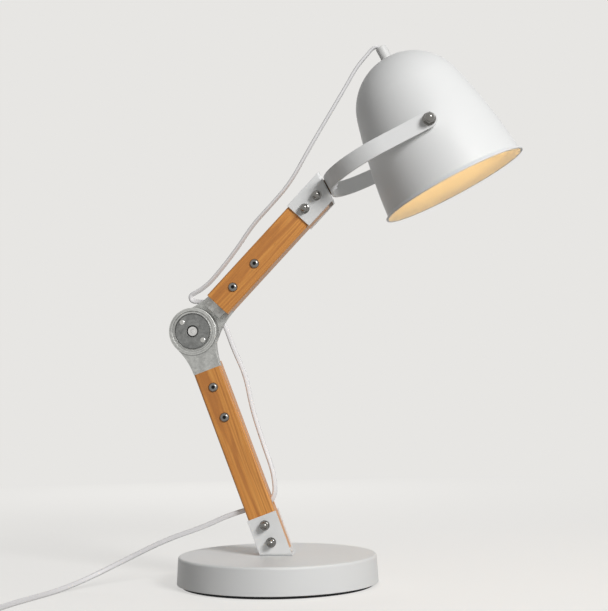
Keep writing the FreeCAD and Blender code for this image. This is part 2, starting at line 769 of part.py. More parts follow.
def make_casting(label, frame, side):
    """One half of the elbow: a round boss, a waisted neck and a tongue that enters the wood."""
    body = new_body(label, frame)
    away = side == REAR
    gap = size.friction_gap / 2
    lift = gap if side == FRONT else -gap
    face = size.hub_half_depth if side == FRONT else -size.hub_half_depth
    disc = new_sketch(body, label + "_disc", "XZ_Plane", lift)
    draw_circle(disc, size.hub_radius)
    pad(body, disc, size.hub_half_depth - gap, reverse=away)
    half = size.wood_width / 2
    neck_end = size.wood_short_start
    flare = (neck_end * neck_end + half * half - size.hub_radius * size.hub_radius) \
        / (2 * (size.hub_radius - half))
    share = size.hub_radius / (size.hub_radius + flare)
    start_x = neck_end * share
    start_z = (half + flare) * share
    neck = new_sketch(body, label + "_neck", "XZ_Plane", lift)
    draw_outline(neck, [
        Corner(0, start_z), Corner(0, -start_z), Corner(start_x, -start_z),
        Corner(neck_end, -half, flare, left=False), Corner(neck_end, half),
        Corner(start_x, start_z, flare, left=False)])
    pad(body, neck, size.wood_depth / 2 - gap, reverse=away)
    tongue = new_sketch(body, label + "_tongue", "XZ_Plane")
    draw_outline(tongue, box_outline(size.tongue_start, size.tongue_end,
                                     -size.tongue_width / 2, size.tongue_width / 2))
    pad(body, tongue, size.tongue_depth, symmetric=True)
    round_edges(body, lambda edge: ring_edge(edge, size.hub_radius.value, y=size.hub_half_depth.value),
                size.casting_edge_round)
    groove = new_sketch(body, label + "_groove", "XZ_Plane", face)
    draw_circle(groove, size.rim_inner_radius)
    draw_circle(groove, size.ring_radius)
    cut(body, "Pocket", groove, size.ring_depth, reverse=away)
    seat = new_sketch(body, label + "_cover_seat", "XZ_Plane", face)
    draw_circle(seat, size.cover_radius + size.hole_clearance)
    cut(body, "Pocket", seat, size.cover_recess, reverse=away)
    well = new_sketch(body, label + "_well", "XZ_Plane", face)
    draw_circle(well, size.well_radius)
    cut(body, "Pocket", well, size.well_depth, reverse=away)
    bore = new_sketch(body, label + "_bore", "XZ_Plane")
    draw_circle(bore, size.elbow_bolt_radius + size.running_clearance)
    cut(body, "Pocket", bore, size.hub_half_depth * 2 + CUT_PAST, symmetric=True)
    holes = new_sketch(body, label + "_tongue_holes", "XZ_Plane")
    for place in (size.first_arm_screw, size.second_arm_screw):
        draw_circle(holes, size.screw_radius + size.hole_clearance, place)
    cut(body, "Pocket", holes, size.tongue_depth + CUT_PAST, symmetric=True)
    threads = new_sketch(body, label + "_cover_threads", "XZ_Plane", face)
    for across, up in cover_screw_places():
        draw_circle(threads, size.cover_screw_radius + size.thread_fit, across, up)
    cut(body, "Pocket", threads, size.cover_thread_depth, reverse=away)
    return body


def cover_screw_places():
    """The two cover screws' places in a casting's frame, opposite each other."""
    across = size.cover_screw_circle * cosine(size.cover_screw_turn)
    up = size.cover_screw_circle * sine(size.cover_screw_turn)
    return [(across, up), (-across, -up)]


def make_cover(label, frame, side):
    """The disc that closes a casting's well: a rounded edge, a centre hole and two screw holes."""
    low = side * (size.hub_half_depth - size.cover_recess)
    high = low + side * size.cover_thickness
    inner = size.elbow_bolt_end_radius + size.cover_hole_gap
    body = ring(label, frame, inner, size.cover_radius, low, high, "XY_Plane")
    screws = new_sketch(body, label + "_screw_holes", "XZ_Plane")
    for across, up in cover_screw_places():
        draw_circle(screws, size.cover_screw_radius + size.hole_clearance, across, up)
    cut(body, "Pocket", screws, size.hub_half_depth * 2 + CUT_PAST, symmetric=True)
    round_edges(body, lambda edge: ring_edge(edge, size.cover_radius.value, y=abs(high.value)),
                size.cover_edge_round)
    return body


def make_elbow(kinds):
    """The friction lock: a hollow bolt, a friction disc, two dished washers and a nut."""
    make_casting("lower_elbow_casting", lower_frame, FRONT)
    make_casting("upper_elbow_casting", upper_frame, REAR)
    make_cover("front_elbow_cover", lower_frame, FRONT)
    make_cover("rear_elbow_cover", upper_frame, REAR)
    screw_seat = size.hub_half_depth - size.cover_recess + size.cover_thickness
    for label, frame, side, facing in (("front_cover_screws", lower_frame, FRONT, "front"),
                                       ("rear_cover_screws", upper_frame, REAR, "rear")):
        seats = [(across, screw_seat * side, up, facing) for across, up in cover_screw_places()]
        fastener_set(label, frame, kinds["cover_screw"], seats)
    floor = size.hub_half_depth - size.well_depth
    bolt = size.elbow_bolt_radius
    end = size.elbow_bolt_end_radius
    flange = size.elbow_bolt_flange_radius
    flange_face = -floor - size.elbow_bolt_flange
    step = floor + size.dished_washer_start
    turned("elbow_pivot_bolt", lower_frame, [
        Corner(size.elbow_bolt_bore, -screw_seat), Corner(end, -screw_seat),
        Corner(end, flange_face), Corner(flange, flange_face), Corner(flange, -floor),
        Corner(bolt, -floor), Corner(bolt, step), Corner(end, step),
        Corner(end, screw_seat), Corner(size.elbow_bolt_bore, screw_seat)], "XY_Plane")
    half_gap = size.friction_gap / 2
    ring("elbow_friction_washer", lower_frame, bolt + size.running_clearance,
         size.hub_radius - size.friction_disc_margin, -half_gap, half_gap - size.face_gap, "XY_Plane")
    thin = size.dished_washer_sheet
    rise = size.dished_washer_rise
    inner = size.dished_washer_inner
    outer = size.dished_washer_outer
    far = step + size.dished_washer_pitch
    washers = new_body("elbow_spring_washers", lower_frame)
    for number, (low, high) in enumerate(((step, step + rise), (far + rise, far)), start=1):
        outline = new_sketch(washers, f"dished_washer_{number}", "XY_Plane")
        draw_outline(outline, [Corner(inner, high), Corner(outer, low),
                               Corner(outer, low + thin), Corner(inner, high + thin)])
        revolve(washers, outline)
    nut_face = floor + size.elbow_nut_start
    nut = hex_nut("elbow_lock_nut", end + size.washer_clearance, size.elbow_nut_flats,
                  screw_seat - nut_face - size.elbow_nut_gap)
    fastener_set("elbow_pivot_nut", lower_frame, nut, [(0, nut_face, 0, "rear")])


def arm_screws(prefix, frame, kinds):
    """Two screws from the front through wood, tongue and wood, with domed nuts behind."""
    half = size.wood_depth / 2
    places = (size.first_arm_screw, size.second_arm_screw)
    fastener_set(prefix + "_arm_screws", frame, kinds["arm_screw"],
                 [(place, -half, 0, "front") for place in places])
    fastener_set(prefix + "_arm_cap_nuts", frame, kinds["cap_nut"],
                 [(place, half, 0, "rear") for place in places])


# ---- head ---------------------------------------------------------------------------------------

def make_yoke():
    """A flat strap bent to a U: a short web, two wide bends and straight legs with round ends."""
    body = new_body("yoke", web_frame)
    outer = size.yoke_half_width
    inner = outer - size.yoke_strap_sheet
    web_half = size.yoke_web_half
    back = size.yoke_washer
    bend = outer - web_half
    leg = back + bend
    tip = size.pivot_distance + size.yoke_strap_width / 2
    web = back + size.yoke_strap_sheet
    small = bend - size.yoke_strap_sheet
    strap = new_sketch(body, "yoke_strap", "XY_Plane")
    draw_outline(strap, [
        Corner(tip, -outer), Corner(tip, -inner), Corner(leg, -inner),
        Corner(web, -web_half, small, left=False), Corner(web, web_half),
        Corner(leg, inner, small, left=False), Corner(tip, inner), Corner(tip, outer),
        Corner(leg, outer), Corner(back, web_half, bend), Corner(back, -web_half),
        Corner(leg, -outer, bend)])
    pad(body, strap, size.yoke_strap_width, symmetric=True)
    strap_half = size.yoke_strap_width.value / 2
    round_edges(body, lambda edge: runs_along(edge, "y", x=tip.value, z=strap_half),
                size.yoke_strap_width / 2 - size.face_gap)
    pivots = new_sketch(body, "yoke_pivot_holes", "XZ_Plane")
    draw_circle(pivots, size.pivot_screw_radius + size.running_clearance, size.pivot_distance)
    cut(body, "Pocket", pivots, size.yoke_half_width * 2 + CUT_PAST, symmetric=True)
    swivel = new_sketch(body, "yoke_swivel_hole", "YZ_Plane")
    draw_circle(swivel, size.pivot_screw_radius + size.running_clearance)
    cut(body, "Pocket", swivel, web + CUT_PAST, reverse=True)
    return body


def make_swivel():
    """The bolt that holds the yoke to the upper bracket, a friction washer between them and a lock nut."""
    bolt = size.pivot_screw_radius
    web = size.yoke_washer + size.yoke_strap_sheet
    seat = -size.bracket_sheet
    head = size.swivel_head_radius
    top = seat - size.swivel_head_height
    end = web + size.swivel_bolt_end
    spin = Frame(web_frame.x, web_frame.z, web_frame.turn + 90)
    turned("swivel_bolt", spin, [
        Corner(0, top), Corner(head / 2, top),
        Corner(head, seat - size.swivel_head_rim, size.swivel_head_dome), Corner(head, seat),
        Corner(bolt, seat), Corner(bolt, end), Corner(0, end)])
    ring("swivel_friction_washer", spin, bolt + size.washer_clearance, size.swivel_washer_radius,
         0, size.yoke_washer - size.face_gap)
    nut = hex_nut("swivel_lock_nut", bolt + size.thread_clearance, size.swivel_nut_flats,
                  size.swivel_nut_height)
    fastener_set("swivel_nut", spin, nut, [(0, 0, web + size.washer_clearance, "up")])


def shade_point(radius, angle, centre_r, centre_z):
    """A point on a circle about a centre in the shade's half section."""
    return centre_r + radius * cosine(angle), centre_z + radius * sine(angle)


def shade_outline(offset):
    """The shade's half section from crown to rim, `offset` inside its outer face."""
    crown = size.crown_radius - offset
    join_r, join_z = shade_point(crown, size.crown_end_angle, ZERO, size.crown_centre)
    side = size.side_radius - offset
    centre_r = (size.crown_radius - size.side_radius) * cosine(size.crown_end_angle)
    centre_z = size.crown_centre + (size.crown_radius - size.side_radius) * sine(size.crown_end_angle)
    flare_z = size.rim_flare_height - size.rim_drop
    rise = flare_z - centre_z
    flare_r = centre_r + root(side * side - rise * rise)
    neck = size.shade_neck_radius
    top_z = size.crown_centre + root(crown * crown - neck * neck)
    return (neck, top_z), (join_r, join_z, crown), (flare_r, flare_z, side)


def make_shade():
    """A spun sheet shade: a round crown, long curved side and a rim flared to a lip."""
    top, join, flare = shade_outline(ZERO)
    in_top, in_join, in_flare = shade_outline(size.shade_sheet)
    lip = size.rim_radius
    low = -size.rim_drop
    body = new_body("shade", shade_frame)
    outline = new_sketch(body, "shade_outline", "XZ_Plane")
    draw_outline(outline, [
        Corner(*top), Corner(*in_top), Corner(*in_join[:2], in_join[2], left=False),
        Corner(*in_flare[:2], in_flare[2], left=False),
        Corner(lip - size.rim_lip_inset, low, size.rim_flare_radius + size.shade_sheet), Corner(lip, low),
        Corner(lip, low + size.rim_lip_height),
        Corner(*flare[:2], size.rim_flare_radius, left=False),
        Corner(*join[:2], flare[2]), Corner(top[0], top[1], join[2])][1:])
    revolve(body, outline)
    pivots = new_sketch(body, "shade_pivot_holes", "XZ_Plane")
    draw_circle(pivots, size.pivot_screw_radius + size.hole_clearance)
    cut(body, "Pocket", pivots, size.yoke_half_width * 2, symmetric=True)
    return body


def make_shade_pivots():
    """Each side of the shade hangs on a screw through wall, shaped spacer and strap."""
    inner = size.yoke_half_width - size.yoke_strap_sheet
    outer = size.yoke_half_width
    join = shade_outline(ZERO)[1]
    flare = shade_outline(ZERO)[2]
    form = turned("shade_form", shade_frame, [
        Corner(0, flare[1]), Corner(*flare[:2]), Corner(*join[:2], flare[2]), Corner(0, join[1])])
    blanks = new_body("spacer_blanks", shade_frame)
    blank = new_sketch(blanks, "spacer_blank", "XZ_Plane")
    draw_circle(blank, size.spacer_radius)
    draw_circle(blank, size.pivot_screw_radius + size.washer_clearance)
    pad(blanks, blank, (inner - size.spacer_gap) * 2, symmetric=True)
    spacers = doc.addObject("Part::Cut", "shade_pivot_spacers")
    spacers.Label = "shade_pivot_spacers"
    spacers.Base = blanks
    spacers.Tool = form
    seat = size.pivot_screw_seat
    screw = button_screw("pivot_screw", size.pivot_screw_radius, outer + size.pivot_screw_reach - seat,
                         size.pivot_head_radius, size.pivot_head_height, size.pivot_key)
    fastener_set("shade_pivot_screws", shade_frame, screw, [(0, -seat, 0, "rear"), (0, seat, 0, "front")])
    washer = ring("pivot_washer", HOME, size.pivot_screw_radius + size.washer_clearance,
                  size.pivot_washer_radius, 0, size.pivot_washer_thickness)
    face = outer + size.face_gap
    fastener_set("shade_pivot_washers", shade_frame, washer, [(0, -face, 0, "front"), (0, face, 0, "rear")])
    nut = cap_nut("pivot_nut", size.pivot_screw_radius + size.thread_clearance, size.pivot_nut_flats,
                  size.pivot_nut_hexagon, size.pivot_nut_height)
    face = face + size.pivot_washer_thickness
    fastener_set("shade_pivot_cap_nuts", shade_frame, nut, [(0, -face, 0, "front"), (0, face, 0, "rear")])


def make_lampholder():
    """The cord cap on the crown, the hollow nipple through it, and the lampholder and bulb inside."""
    crown_inner = shade_outline(size.shade_sheet)[0][1]
    bore = size.nipple_radius + size.thread_fit
    cap_low = size.crown_centre + size.crown_radius - size.cap_sink
    cap_top = size.cap_top
    bore_low = cap_top - size.cap_bore_depth
    round_off = size.cap_edge_round
    cap = turned("cord_cap", shade_frame, [
        Corner(bore, cap_low), Corner(size.cap_radius, cap_low),
        Corner(size.cap_radius, cap_top - round_off),
        Corner(size.cap_radius - round_off, cap_top, round_off),
        Corner(size.cap_bore, cap_top), Corner(size.cap_bore, bore_low), Corner(bore, bore_low)])
    grub_height = cap_top - size.grub_drop
    grub = new_sketch(cap, "grub_hole", "YZ_Plane")
    draw_circle(grub, size.grub_radius + size.thread_fit, 0, grub_height)
    cut(cap, "Pocket", grub, size.cap_radius + CUT_PAST)
    screw = turned("grub_screw", HOME, box_outline(0, size.grub_radius, 0, size.grub_length))
    socket = new_sketch(screw, "grub_socket", "XY_Plane", size.grub_length)
    draw_outline(socket, hexagon(size.grub_key))
    cut(screw, "Pocket", socket, size.grub_key_depth)
    fastener_set("cap_grub_screw", shade_frame, screw, [(-bore, 0, grub_height, "inward")])
    holder = size.holder_radius
    top = size.holder_top
    mouth = size.holder_mouth
    ring("nipple", shade_frame, size.nipple_bore, size.nipple_radius,
         top - size.holder_crown_drop, bore_low - size.washer_clearance)
    play = size.holder_nut_gap + size.holder_nut_play
    nut = hex_nut("nipple_lock_nut", bore, size.holder_nut_flats, crown_inner - top - play)
    fastener_set("nipple_nut", shade_frame, nut, [(0, 0, top + size.holder_nut_gap, "up")])
    skirt = top - size.holder_cap_length
    turned("lampholder_cap", shade_frame, [
        Corner(bore, top), Corner(bore, top - size.holder_sheet),
        Corner(holder - size.holder_sheet, top - size.holder_dome_drop, size.holder_dome_round, left=False),
        Corner(holder - size.holder_cap_wall, skirt), Corner(holder, skirt),
        Corner(holder, top - size.holder_crown_drop),
        Corner(size.holder_crown_radius, top, size.holder_crown_round)])
    body_top = skirt - size.holder_joint_gap
    floor = top - size.socket_drop
    waist = holder - size.holder_bead
    bead = mouth + size.holder_bead_height
    turned("lampholder_body", shade_frame, [
        Corner(0, body_top), Corner(0, floor), Corner(size.socket_radius, floor),
        Corner(size.socket_radius, mouth), Corner(holder, mouth), Corner(holder, bead),
        Corner(waist, bead + size.holder_bead), Corner(waist, body_top)])
    ring("bulb_cap", shade_frame, size.bulb_cap_inner, size.bulb_cap_radius,
         mouth + size.bulb_cap_gap, floor - size.bulb_cap_play)
    bulb = size.bulb_radius
    tip = size.bulb_tip
    centre = tip + bulb
    wall = size.bulb_wall
    inside = bulb - wall
    turn_r, turn_z = shade_point(bulb, size.bulb_neck_turn, ZERO, centre)
    in_r, in_z = shade_point(inside, size.bulb_neck_turn, ZERO, centre)
    neck = size.bulb_neck_radius
    neck_low = mouth + size.bulb_neck_gap
    neck_round = size.bulb_neck_round
    turned("bulb_glass", shade_frame, [
        Corner(0, tip), Corner(bulb, centre, bulb), Corner(turn_r, turn_z, bulb),
        Corner(neck, neck_low, neck_round, left=False), Corner(neck - wall, neck_low),
        Corner(in_r, in_z, neck_round + wall), Corner(inside, centre, inside, left=False),
        Corner(0, tip + wall, inside, left=False)])


# ---- cord -----------------------------------------------------------------------------------------

# Where the cord runs, as (x, y, z) corners of straight runs that arcs join.
ARC_SHARE = 0.45
HEAD_CORD_ROUTE = [
    (113.7, 0.0, 535.4), (111.5, 0.0, 538.7), (108.4, 0.1, 539.5), (104.0, 0.3, 537.1),
    (98.0, 0.8, 531.6), (87.5, 1.4, 519.9), (77.5, 2.1, 502.9), (68.0, 2.9, 487.5), (50.5, 4.3, 459.2)]
ARM_CORD_ROUTE = [
    (50.4, 4.3, 459.1), (36.0, 5.5, 435.8), (17.5, 7.4, 403.5), (-3.5, 9.6, 380.8),
    (-22.0, 11.6, 362.0), (-40.0, 13.2, 336.0), (-57.0, 14.5, 315.3), (-67.0, 15.2, 304.2),
    (-75.7, 15.6, 297.2), (-82.1, 15.9, 293.8), (-87.4, 16.2, 291.2), (-88.4, 16.4, 288.4),
    (-87.1, 16.5, 285.8), (-81.6, 16.7, 284.3), (-73.4, 16.8, 283.3), (-63.7, 16.9, 274.1)]
ELBOW_CORD_ROUTE = [
    (-63.6, 16.9, 274.0), (-53.8, 17.0, 264.0), (-44.5, 15.0, 236.5), (-31.0, 11.8, 207.5),
    (-24.8, 8.6, 174.0), (-13.0, 5.4, 138.0), (-4.0, 2.6, 113.0), (-2.0, 1.0, 99.6),
    (-1.6, 0.2, 90.4), (-4.7, 0.0, 82.8), (-10.8, 0.0, 79.0), (-17.45, 0.0, 77.21)]
SUPPLY_CORD_ROUTE = [
    (-17.45, 0.0, 77.21), (-47.0, 0.0, 69.2), (-72.5, -0.6, 57.4), (-112.0, -3.0, 44.6),
    (-150.0, -11.0, 26.5), (-184.0, -29.0, 10.0), (-207.0, -58.0, 2.1), (-221.5, -103.0, 2.1),
    (-232.5, -146.0, 2.1), (-238.0, -186.0, 2.1)]

# The two short stretches at the coil, measured from its centre.
SWITCH_CORD_ROUTE = [
    (-25.0, 12.0, 7.4), (-22.5, 27.0, 9.8), (-19.0, 42.0, 12.6), (-13.0, 54.5, 15.2),
    (-1.5, 60.0, 17.4), (10.0, 55.5, 19.2), (15.0, 44.0, 20.2), (15.0, 31.0, 20.3)]
PLUG_CORD_ROUTE = [
    (15.0, -31.0, 20.3), (15.0, -44.0, 20.2), (10.0, -55.5, 18.4), (-1.5, -60.0, 16.2),
    (-12.0, -56.3, 16.0), (-18.5, -48.5, 18.4), (-18.5, -37.0, 18.6)]

coil_outer = size.coil_radius + size.coil_width / 2
coil_frame = Frame(SUPPLY_CORD_ROUTE[-1][0] + size.cord_diameter / 2 - coil_outer, 0, 0,
                   SUPPLY_CORD_ROUTE[-1][1] - size.coil_setback)
coil_top = size.tie_thickness * 2 + size.coil_height
switch_frame = Frame(coil_frame.x + size.switch_offset, coil_top, 0, coil_frame.y)
rocker_axis = size.switch_height - size.rocker_axis_drop
plug_frame = Frame(coil_frame.x + size.plug_offset, coil_top + size.plug_height / 2, 0,
                   coil_frame.y + size.plug_setback)


def arc_middle(corner, enter, leave):
    """The middle point of the arc that is tangent to both runs at enter and leave."""
    setback = (enter - corner).Length
    inwards = ((enter + leave) * 0.5 - corner).normalize()
    half_opening = (enter - corner).getAngle(leave - corner) / 2
    radius = setback * math.tan(half_opening)
    return corner + inwards * (setback / math.cos(half_opening) - radius)


def cord_tube(label, route):
    """A round cord along straight runs joined by arcs as large as the runs allow."""
    points = [FreeCAD.Vector(*place) for place in route]
    edges = []
    radii = []
    start = points[0]
    for before, corner, after in zip(points, points[1:], points[2:]):
        setback = ARC_SHARE * min((corner - before).Length, (after - corner).Length)
        enter = corner - (corner - before).normalize() * setback
        leave = corner + (after - corner).normalize() * setback
        edges.append(Part.LineSegment(start, enter).toShape())
        edges.append(Part.Arc(enter, arc_middle(corner, enter, leave), leave).toShape())
        radii.append(setback / math.tan((corner - before).getAngle(after - corner) / 2))
        start = leave
    edges.append(Part.LineSegment(start, points[-1]).toShape())
    path = Part.Wire(edges)
    radius = size.cord_diameter.value / 2
    mouth = Part.Wire(Part.makeCircle(radius, points[0], points[1] - points[0]).Edges)
    tube = path.makePipeShell([mouth], True, False)
    section = math.pi * radius ** 2
    print(f"{label}: {path.Length:.1f} long, volume {tube.Volume / section / path.Length:.3f} of section"
          " times length, radii", " ".join(f"{found:.0f}" for found in radii))
    cord = doc.addObject("Part::Feature", label)
    cord.Label = label
    cord.Shape = tube
    cord.Placement = FreeCAD.Placement()


def make_cords():
    cord_tube("head_cord", HEAD_CORD_ROUTE)
    cord_tube("arm_cord", ARM_CORD_ROUTE)
    cord_tube("elbow_cord", ELBOW_CORD_ROUTE)
    cord_tube("supply_cord", SUPPLY_CORD_ROUTE)
    for label, route in (("switch_cord", SWITCH_CORD_ROUTE), ("plug_cord", PLUG_CORD_ROUTE)):
        cord_tube(label, [(x + coil_frame.x.value, y + coil_frame.y.value, z) for x, y, z in route])


def make_coil():
    """The spare length as a flat round coil with squashed corners, and the band that ties it."""
    half = size.coil_width / 2
    corner = size.coil_corner
    low = size.tie_thickness
    high = low + size.coil_height
    inner = size.coil_radius - half
    outer = size.coil_radius + half
    turned("cord_coil", coil_frame, [
        Corner(inner + corner, low, corner), Corner(outer - corner, low),
        Corner(outer, low + corner, corner), Corner(outer, high - corner),
        Corner(outer - corner, high, corner), Corner(inner + corner, high),
        Corner(inner, high - corner, corner), Corner(inner, low + corner)])
    tie = new_body("cord_tie", coil_frame)
    play = size.tie_play
    outline = new_sketch(tie, "tie_outline", "XZ_Plane")
    draw_outline(outline, box_outline(-outer - play - low, -inner + play + low, 0, high + low))
    draw_outline(outline, box_outline(-outer - play, -inner + play, low, high + size.face_gap))
    pad(tie, outline, size.tie_width, symmetric=True)


# ---- inline switch and plug -------------------------------------------------------------------------

def switch_case(label, lift, height, rounded):
    """Half of the switch's case: a long outline with slanted ends, its outer edge rounded."""
    body = new_body(label, switch_frame)
    half = size.switch_width / 2
    end = size.switch_length / 2
    tip = size.switch_end_half
    shoulder = end - size.switch_end_slant
    outline = new_sketch(body, label + "_outline", "XY_Plane", lift)
    draw_outline(outline, [
        Corner(-tip, -end), Corner(tip, -end), Corner(half, -shoulder), Corner(half, shoulder),
        Corner(tip, end), Corner(-tip, end), Corner(-half, shoulder), Corner(-half, -shoulder)])
    pad(body, outline, height)
    level = rounded.value
    round_edges(body, lambda edge: all(abs(vertex.Point.z - level) < 0.01 for vertex in edge.Vertexes),
                size.switch_edge_round)
    return body


def make_switch():
    """A rocker switch on the cord: two case halves and a rocker on trunnions in the upper one."""
    split = size.switch_height / 2
    window = size.rocker_length / 2 + size.rocker_end_play
    side = size.rocker_width / 2 + size.rocker_side_play
    lower = switch_case("switch_bottom_case", ZERO, split, ZERO)
    upper = switch_case("switch_top_case", split, split, size.switch_height)
    room = new_sketch(lower, "rocker_room", "XY_Plane", split)
    draw_outline(room, box_outline(-side, side, -window, window))
    cut(lower, "Pocket", room, size.rocker_room_depth)
    opening = new_sketch(upper, "rocker_window", "XY_Plane", size.switch_height)
    draw_outline(opening, box_outline(-side, side, -window, window))
    cut(upper, "Pocket", opening, split + CUT_PAST)
    seats = new_sketch(upper, "trunnion_seats", "YZ_Plane")
    draw_circle(seats, size.trunnion_radius + size.washer_clearance, 0, rocker_axis)
    pin_span = size.rocker_width + size.trunnion_reach * 2
    cut(upper, "Pocket", seats, pin_span + size.trunnion_room * 2, symmetric=True)
    rocker = new_body("switch_rocker", Frame(switch_frame.x, switch_frame.z + rocker_axis,
                                             -size.rocker_tilt, switch_frame.y, (1, 0, 0)))
    half = size.rocker_length / 2 - size.rocker_end_trim
    flank = size.rocker_flank
    keel = size.rocker_keel
    horn = size.rocker_horn
    hollow = size.rocker_hollow
    shape = new_sketch(rocker, "rocker_side", "YZ_Plane")
    draw_outline(shape, [
        Corner(-half, -flank), Corner(-keel, -keel), Corner(keel, -keel), Corner(half, -flank),
        Corner(half, horn), Corner(0, size.rocker_waist, hollow, left=False),
        Corner(-half, horn, hollow, left=False)])
    pad(rocker, shape, size.rocker_width, symmetric=True)
    pins = new_sketch(rocker, "rocker_trunnions", "YZ_Plane")
    draw_circle(pins, size.trunnion_radius)
    pad(rocker, pins, pin_span, symmetric=True)


def make_plug():
    """A flat two-pin plug: a waisted moulded body with a tapered strain relief, and round pins."""
    body = new_body("plug_body", plug_frame)
    half = size.plug_width / 2
    front = size.plug_length / 2
    shoulder = front - size.plug_shoulder
    neck = size.plug_neck_half
    waist = size.plug_waist
    outline = new_sketch(body, "plug_outline", "XY_Plane")
    draw_outline(outline, [
        Corner(-half, front), Corner(-half, shoulder), Corner(-neck, -front, waist, left=False),
        Corner(neck, -front), Corner(half, shoulder, waist, left=False), Corner(half, front)])
    pad(body, outline, size.plug_height, symmetric=True)
    flat = size.plug_height.value / 2
    round_edges(body, lambda edge: all(abs(abs(vertex.Point.z) - flat) < 0.01 for vertex in edge.Vertexes)
                and edge.Vertexes[0].Point.z * edge.Vertexes[-1].Point.z > 0, size.plug_edge_round)
    relief = new_sketch(body, "strain_relief", "XY_Plane")
    end = -front - size.relief_length
    root_end = size.relief_overlap - front
    thick = size.relief_thick_radius
    draw_outline(relief, [Corner(0, root_end), Corner(0, end), Corner(size.relief_thin_radius, end),
                          Corner(thick, size.relief_taper_start - front), Corner(thick, root_end)])
    revolve(body, relief)
    pin_radius = size.plug_pin_radius
    pin_root = size.plug_pin_root
    reach = size.plug_pin_length
    pin = turned("plug_pin", HOME, [
        Corner(0, -pin_root), Corner(pin_radius, -pin_root), Corner(pin_radius, reach - size.plug_pin_tip),
        Corner(size.plug_pin_tip_radius, reach), Corner(0, reach)])
    seats = new_sketch(body, "pin_seats", "XZ_Plane", -front)
    spread = size.plug_pin_spread
    for place in (-spread, spread):
        draw_circle(seats, pin_radius + size.thread_fit, place)
    cut(body, "Pocket", seats, pin_root + size.thread_fit, reverse=True)
    fastener_set("plug_pins", plug_frame, pin, [(-spread, front, 0, "rear"), (spread, front, 0, "rear")])


# ---- the whole lamp -----------------------------------------------------------------------------------

NODES = (
    "base_pad", "base_plate", "base_plate_screws", "base_weight", "base_cover",
    "lower_bracket", "bracket_base_screws", "lower_bracket_screws", "lower_bracket_washers",
    "lower_bracket_cap_nuts", "lower_arm", "lower_arm_screws", "lower_arm_cap_nuts",
    "lower_elbow_casting", "front_elbow_cover", "front_cover_screws", "elbow_pivot_bolt",
    "elbow_friction_washer", "elbow_spring_washers", "elbow_pivot_nut",
    "upper_elbow_casting", "rear_elbow_cover", "rear_cover_screws",
    "upper_arm", "upper_arm_screws", "upper_arm_cap_nuts", "upper_bracket",
    "upper_bracket_screws", "upper_bracket_washers", "upper_bracket_cap_nuts",
    "swivel_bolt", "swivel_friction_washer", "swivel_nut", "yoke",
    "shade", "shade_pivot_spacers", "shade_pivot_screws", "shade_pivot_washers", "shade_pivot_cap_nuts",
    "cord_cap", "cap_grub_screw", "nipple", "nipple_nut", "lampholder_cap", "lampholder_body",
    "bulb_cap", "bulb_glass",
    "head_cord", "arm_cord", "elbow_cord", "supply_cord", "cord_coil", "cord_tie", "switch_cord",
    "plug_cord", "switch_bottom_case", "switch_top_case", "switch_rocker", "plug_body", "plug_pins")


def check_and_write():
    """Stop on any failed object, then write each piece to its own file."""
    doc.recompute()
    for item in doc.Objects:
        if "Invalid" in item.State or "Error" in item.State:
            raise RuntimeError(f"{item.Label} failed: {item.State}")
    os.makedirs("parts", exist_ok=True)
    for name in NODES:
        shape = doc.getObject(name).Shape
        if shape.isNull() or not shape.isValid():
            raise RuntimeError(f"{name} has no valid shape")
        shape.exportStep(f"parts/{name}.step")


def make_lamp():
    screw = size.screw_radius
    head = (size.screw_head_radius, size.screw_head_height, size.screw_key)
    reach = size.screw_reach
    through = size.bracket_depth + size.washer_thickness + reach
    kinds = {
        "bracket_screw": button_screw("bracket_screw", screw, through, *head),
        "arm_screw": button_screw("arm_screw", screw, size.wood_depth + reach, *head),
        "base_screw": button_screw("base_screw", screw, size.base_screw_length, *head),
        "cover_screw": button_screw("cover_screw", size.cover_screw_radius, size.cover_screw_length,
                                    size.cover_screw_head_radius, size.cover_screw_head_height,
                                    size.cover_screw_key),
        "cap_nut": cap_nut("screw_cap_nut", screw + size.thread_clearance, size.nut_flats,
                           size.nut_hexagon, size.nut_height),
        "washer": ring("screw_washer", HOME, screw + size.washer_clearance, size.washer_radius,
                       0, size.washer_thickness - size.face_gap),
    }
    make_base()
    spread = size.base_screw_spread
    make_bracket("lower_bracket", base_top, size.arm_lean, [(-spread, screw), (spread, screw)])
    make_bracket("upper_bracket", web_frame, upper_lean, [(ZERO, size.pivot_screw_radius)])
    fastener_set("bracket_base_screws", base_top, kinds["base_screw"],
                 [(-size.bracket_sheet, 0, place, "inward") for place in (-spread, spread)])
    bracket_fasteners("lower", base_top, size.arm_lean, kinds)
    bracket_fasteners("upper", web_frame, upper_lean, kinds)
    make_arm("lower_arm", lower_frame, FRONT, size.lower_reach, size.arm_lean, cord_hole=True)
    make_arm("upper_arm", upper_frame, REAR, size.upper_reach, upper_lean, cord_hole=False)
    arm_screws("lower", lower_frame, kinds)
    arm_screws("upper", upper_frame, kinds)
    make_elbow(kinds)
    make_yoke()
    make_swivel()
    make_shade()
    make_shade_pivots()
    make_lampholder()
    make_cords()
    make_coil()
    make_switch()
    make_plug()
    check_and_write()


make_lamp()
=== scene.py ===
"""Finishes for the adjustable table lamp: white powder coat, cherry arms, cast elbow and white flex.

It also models the spun shade, the cord and the screws in the elbow's covers.
"""

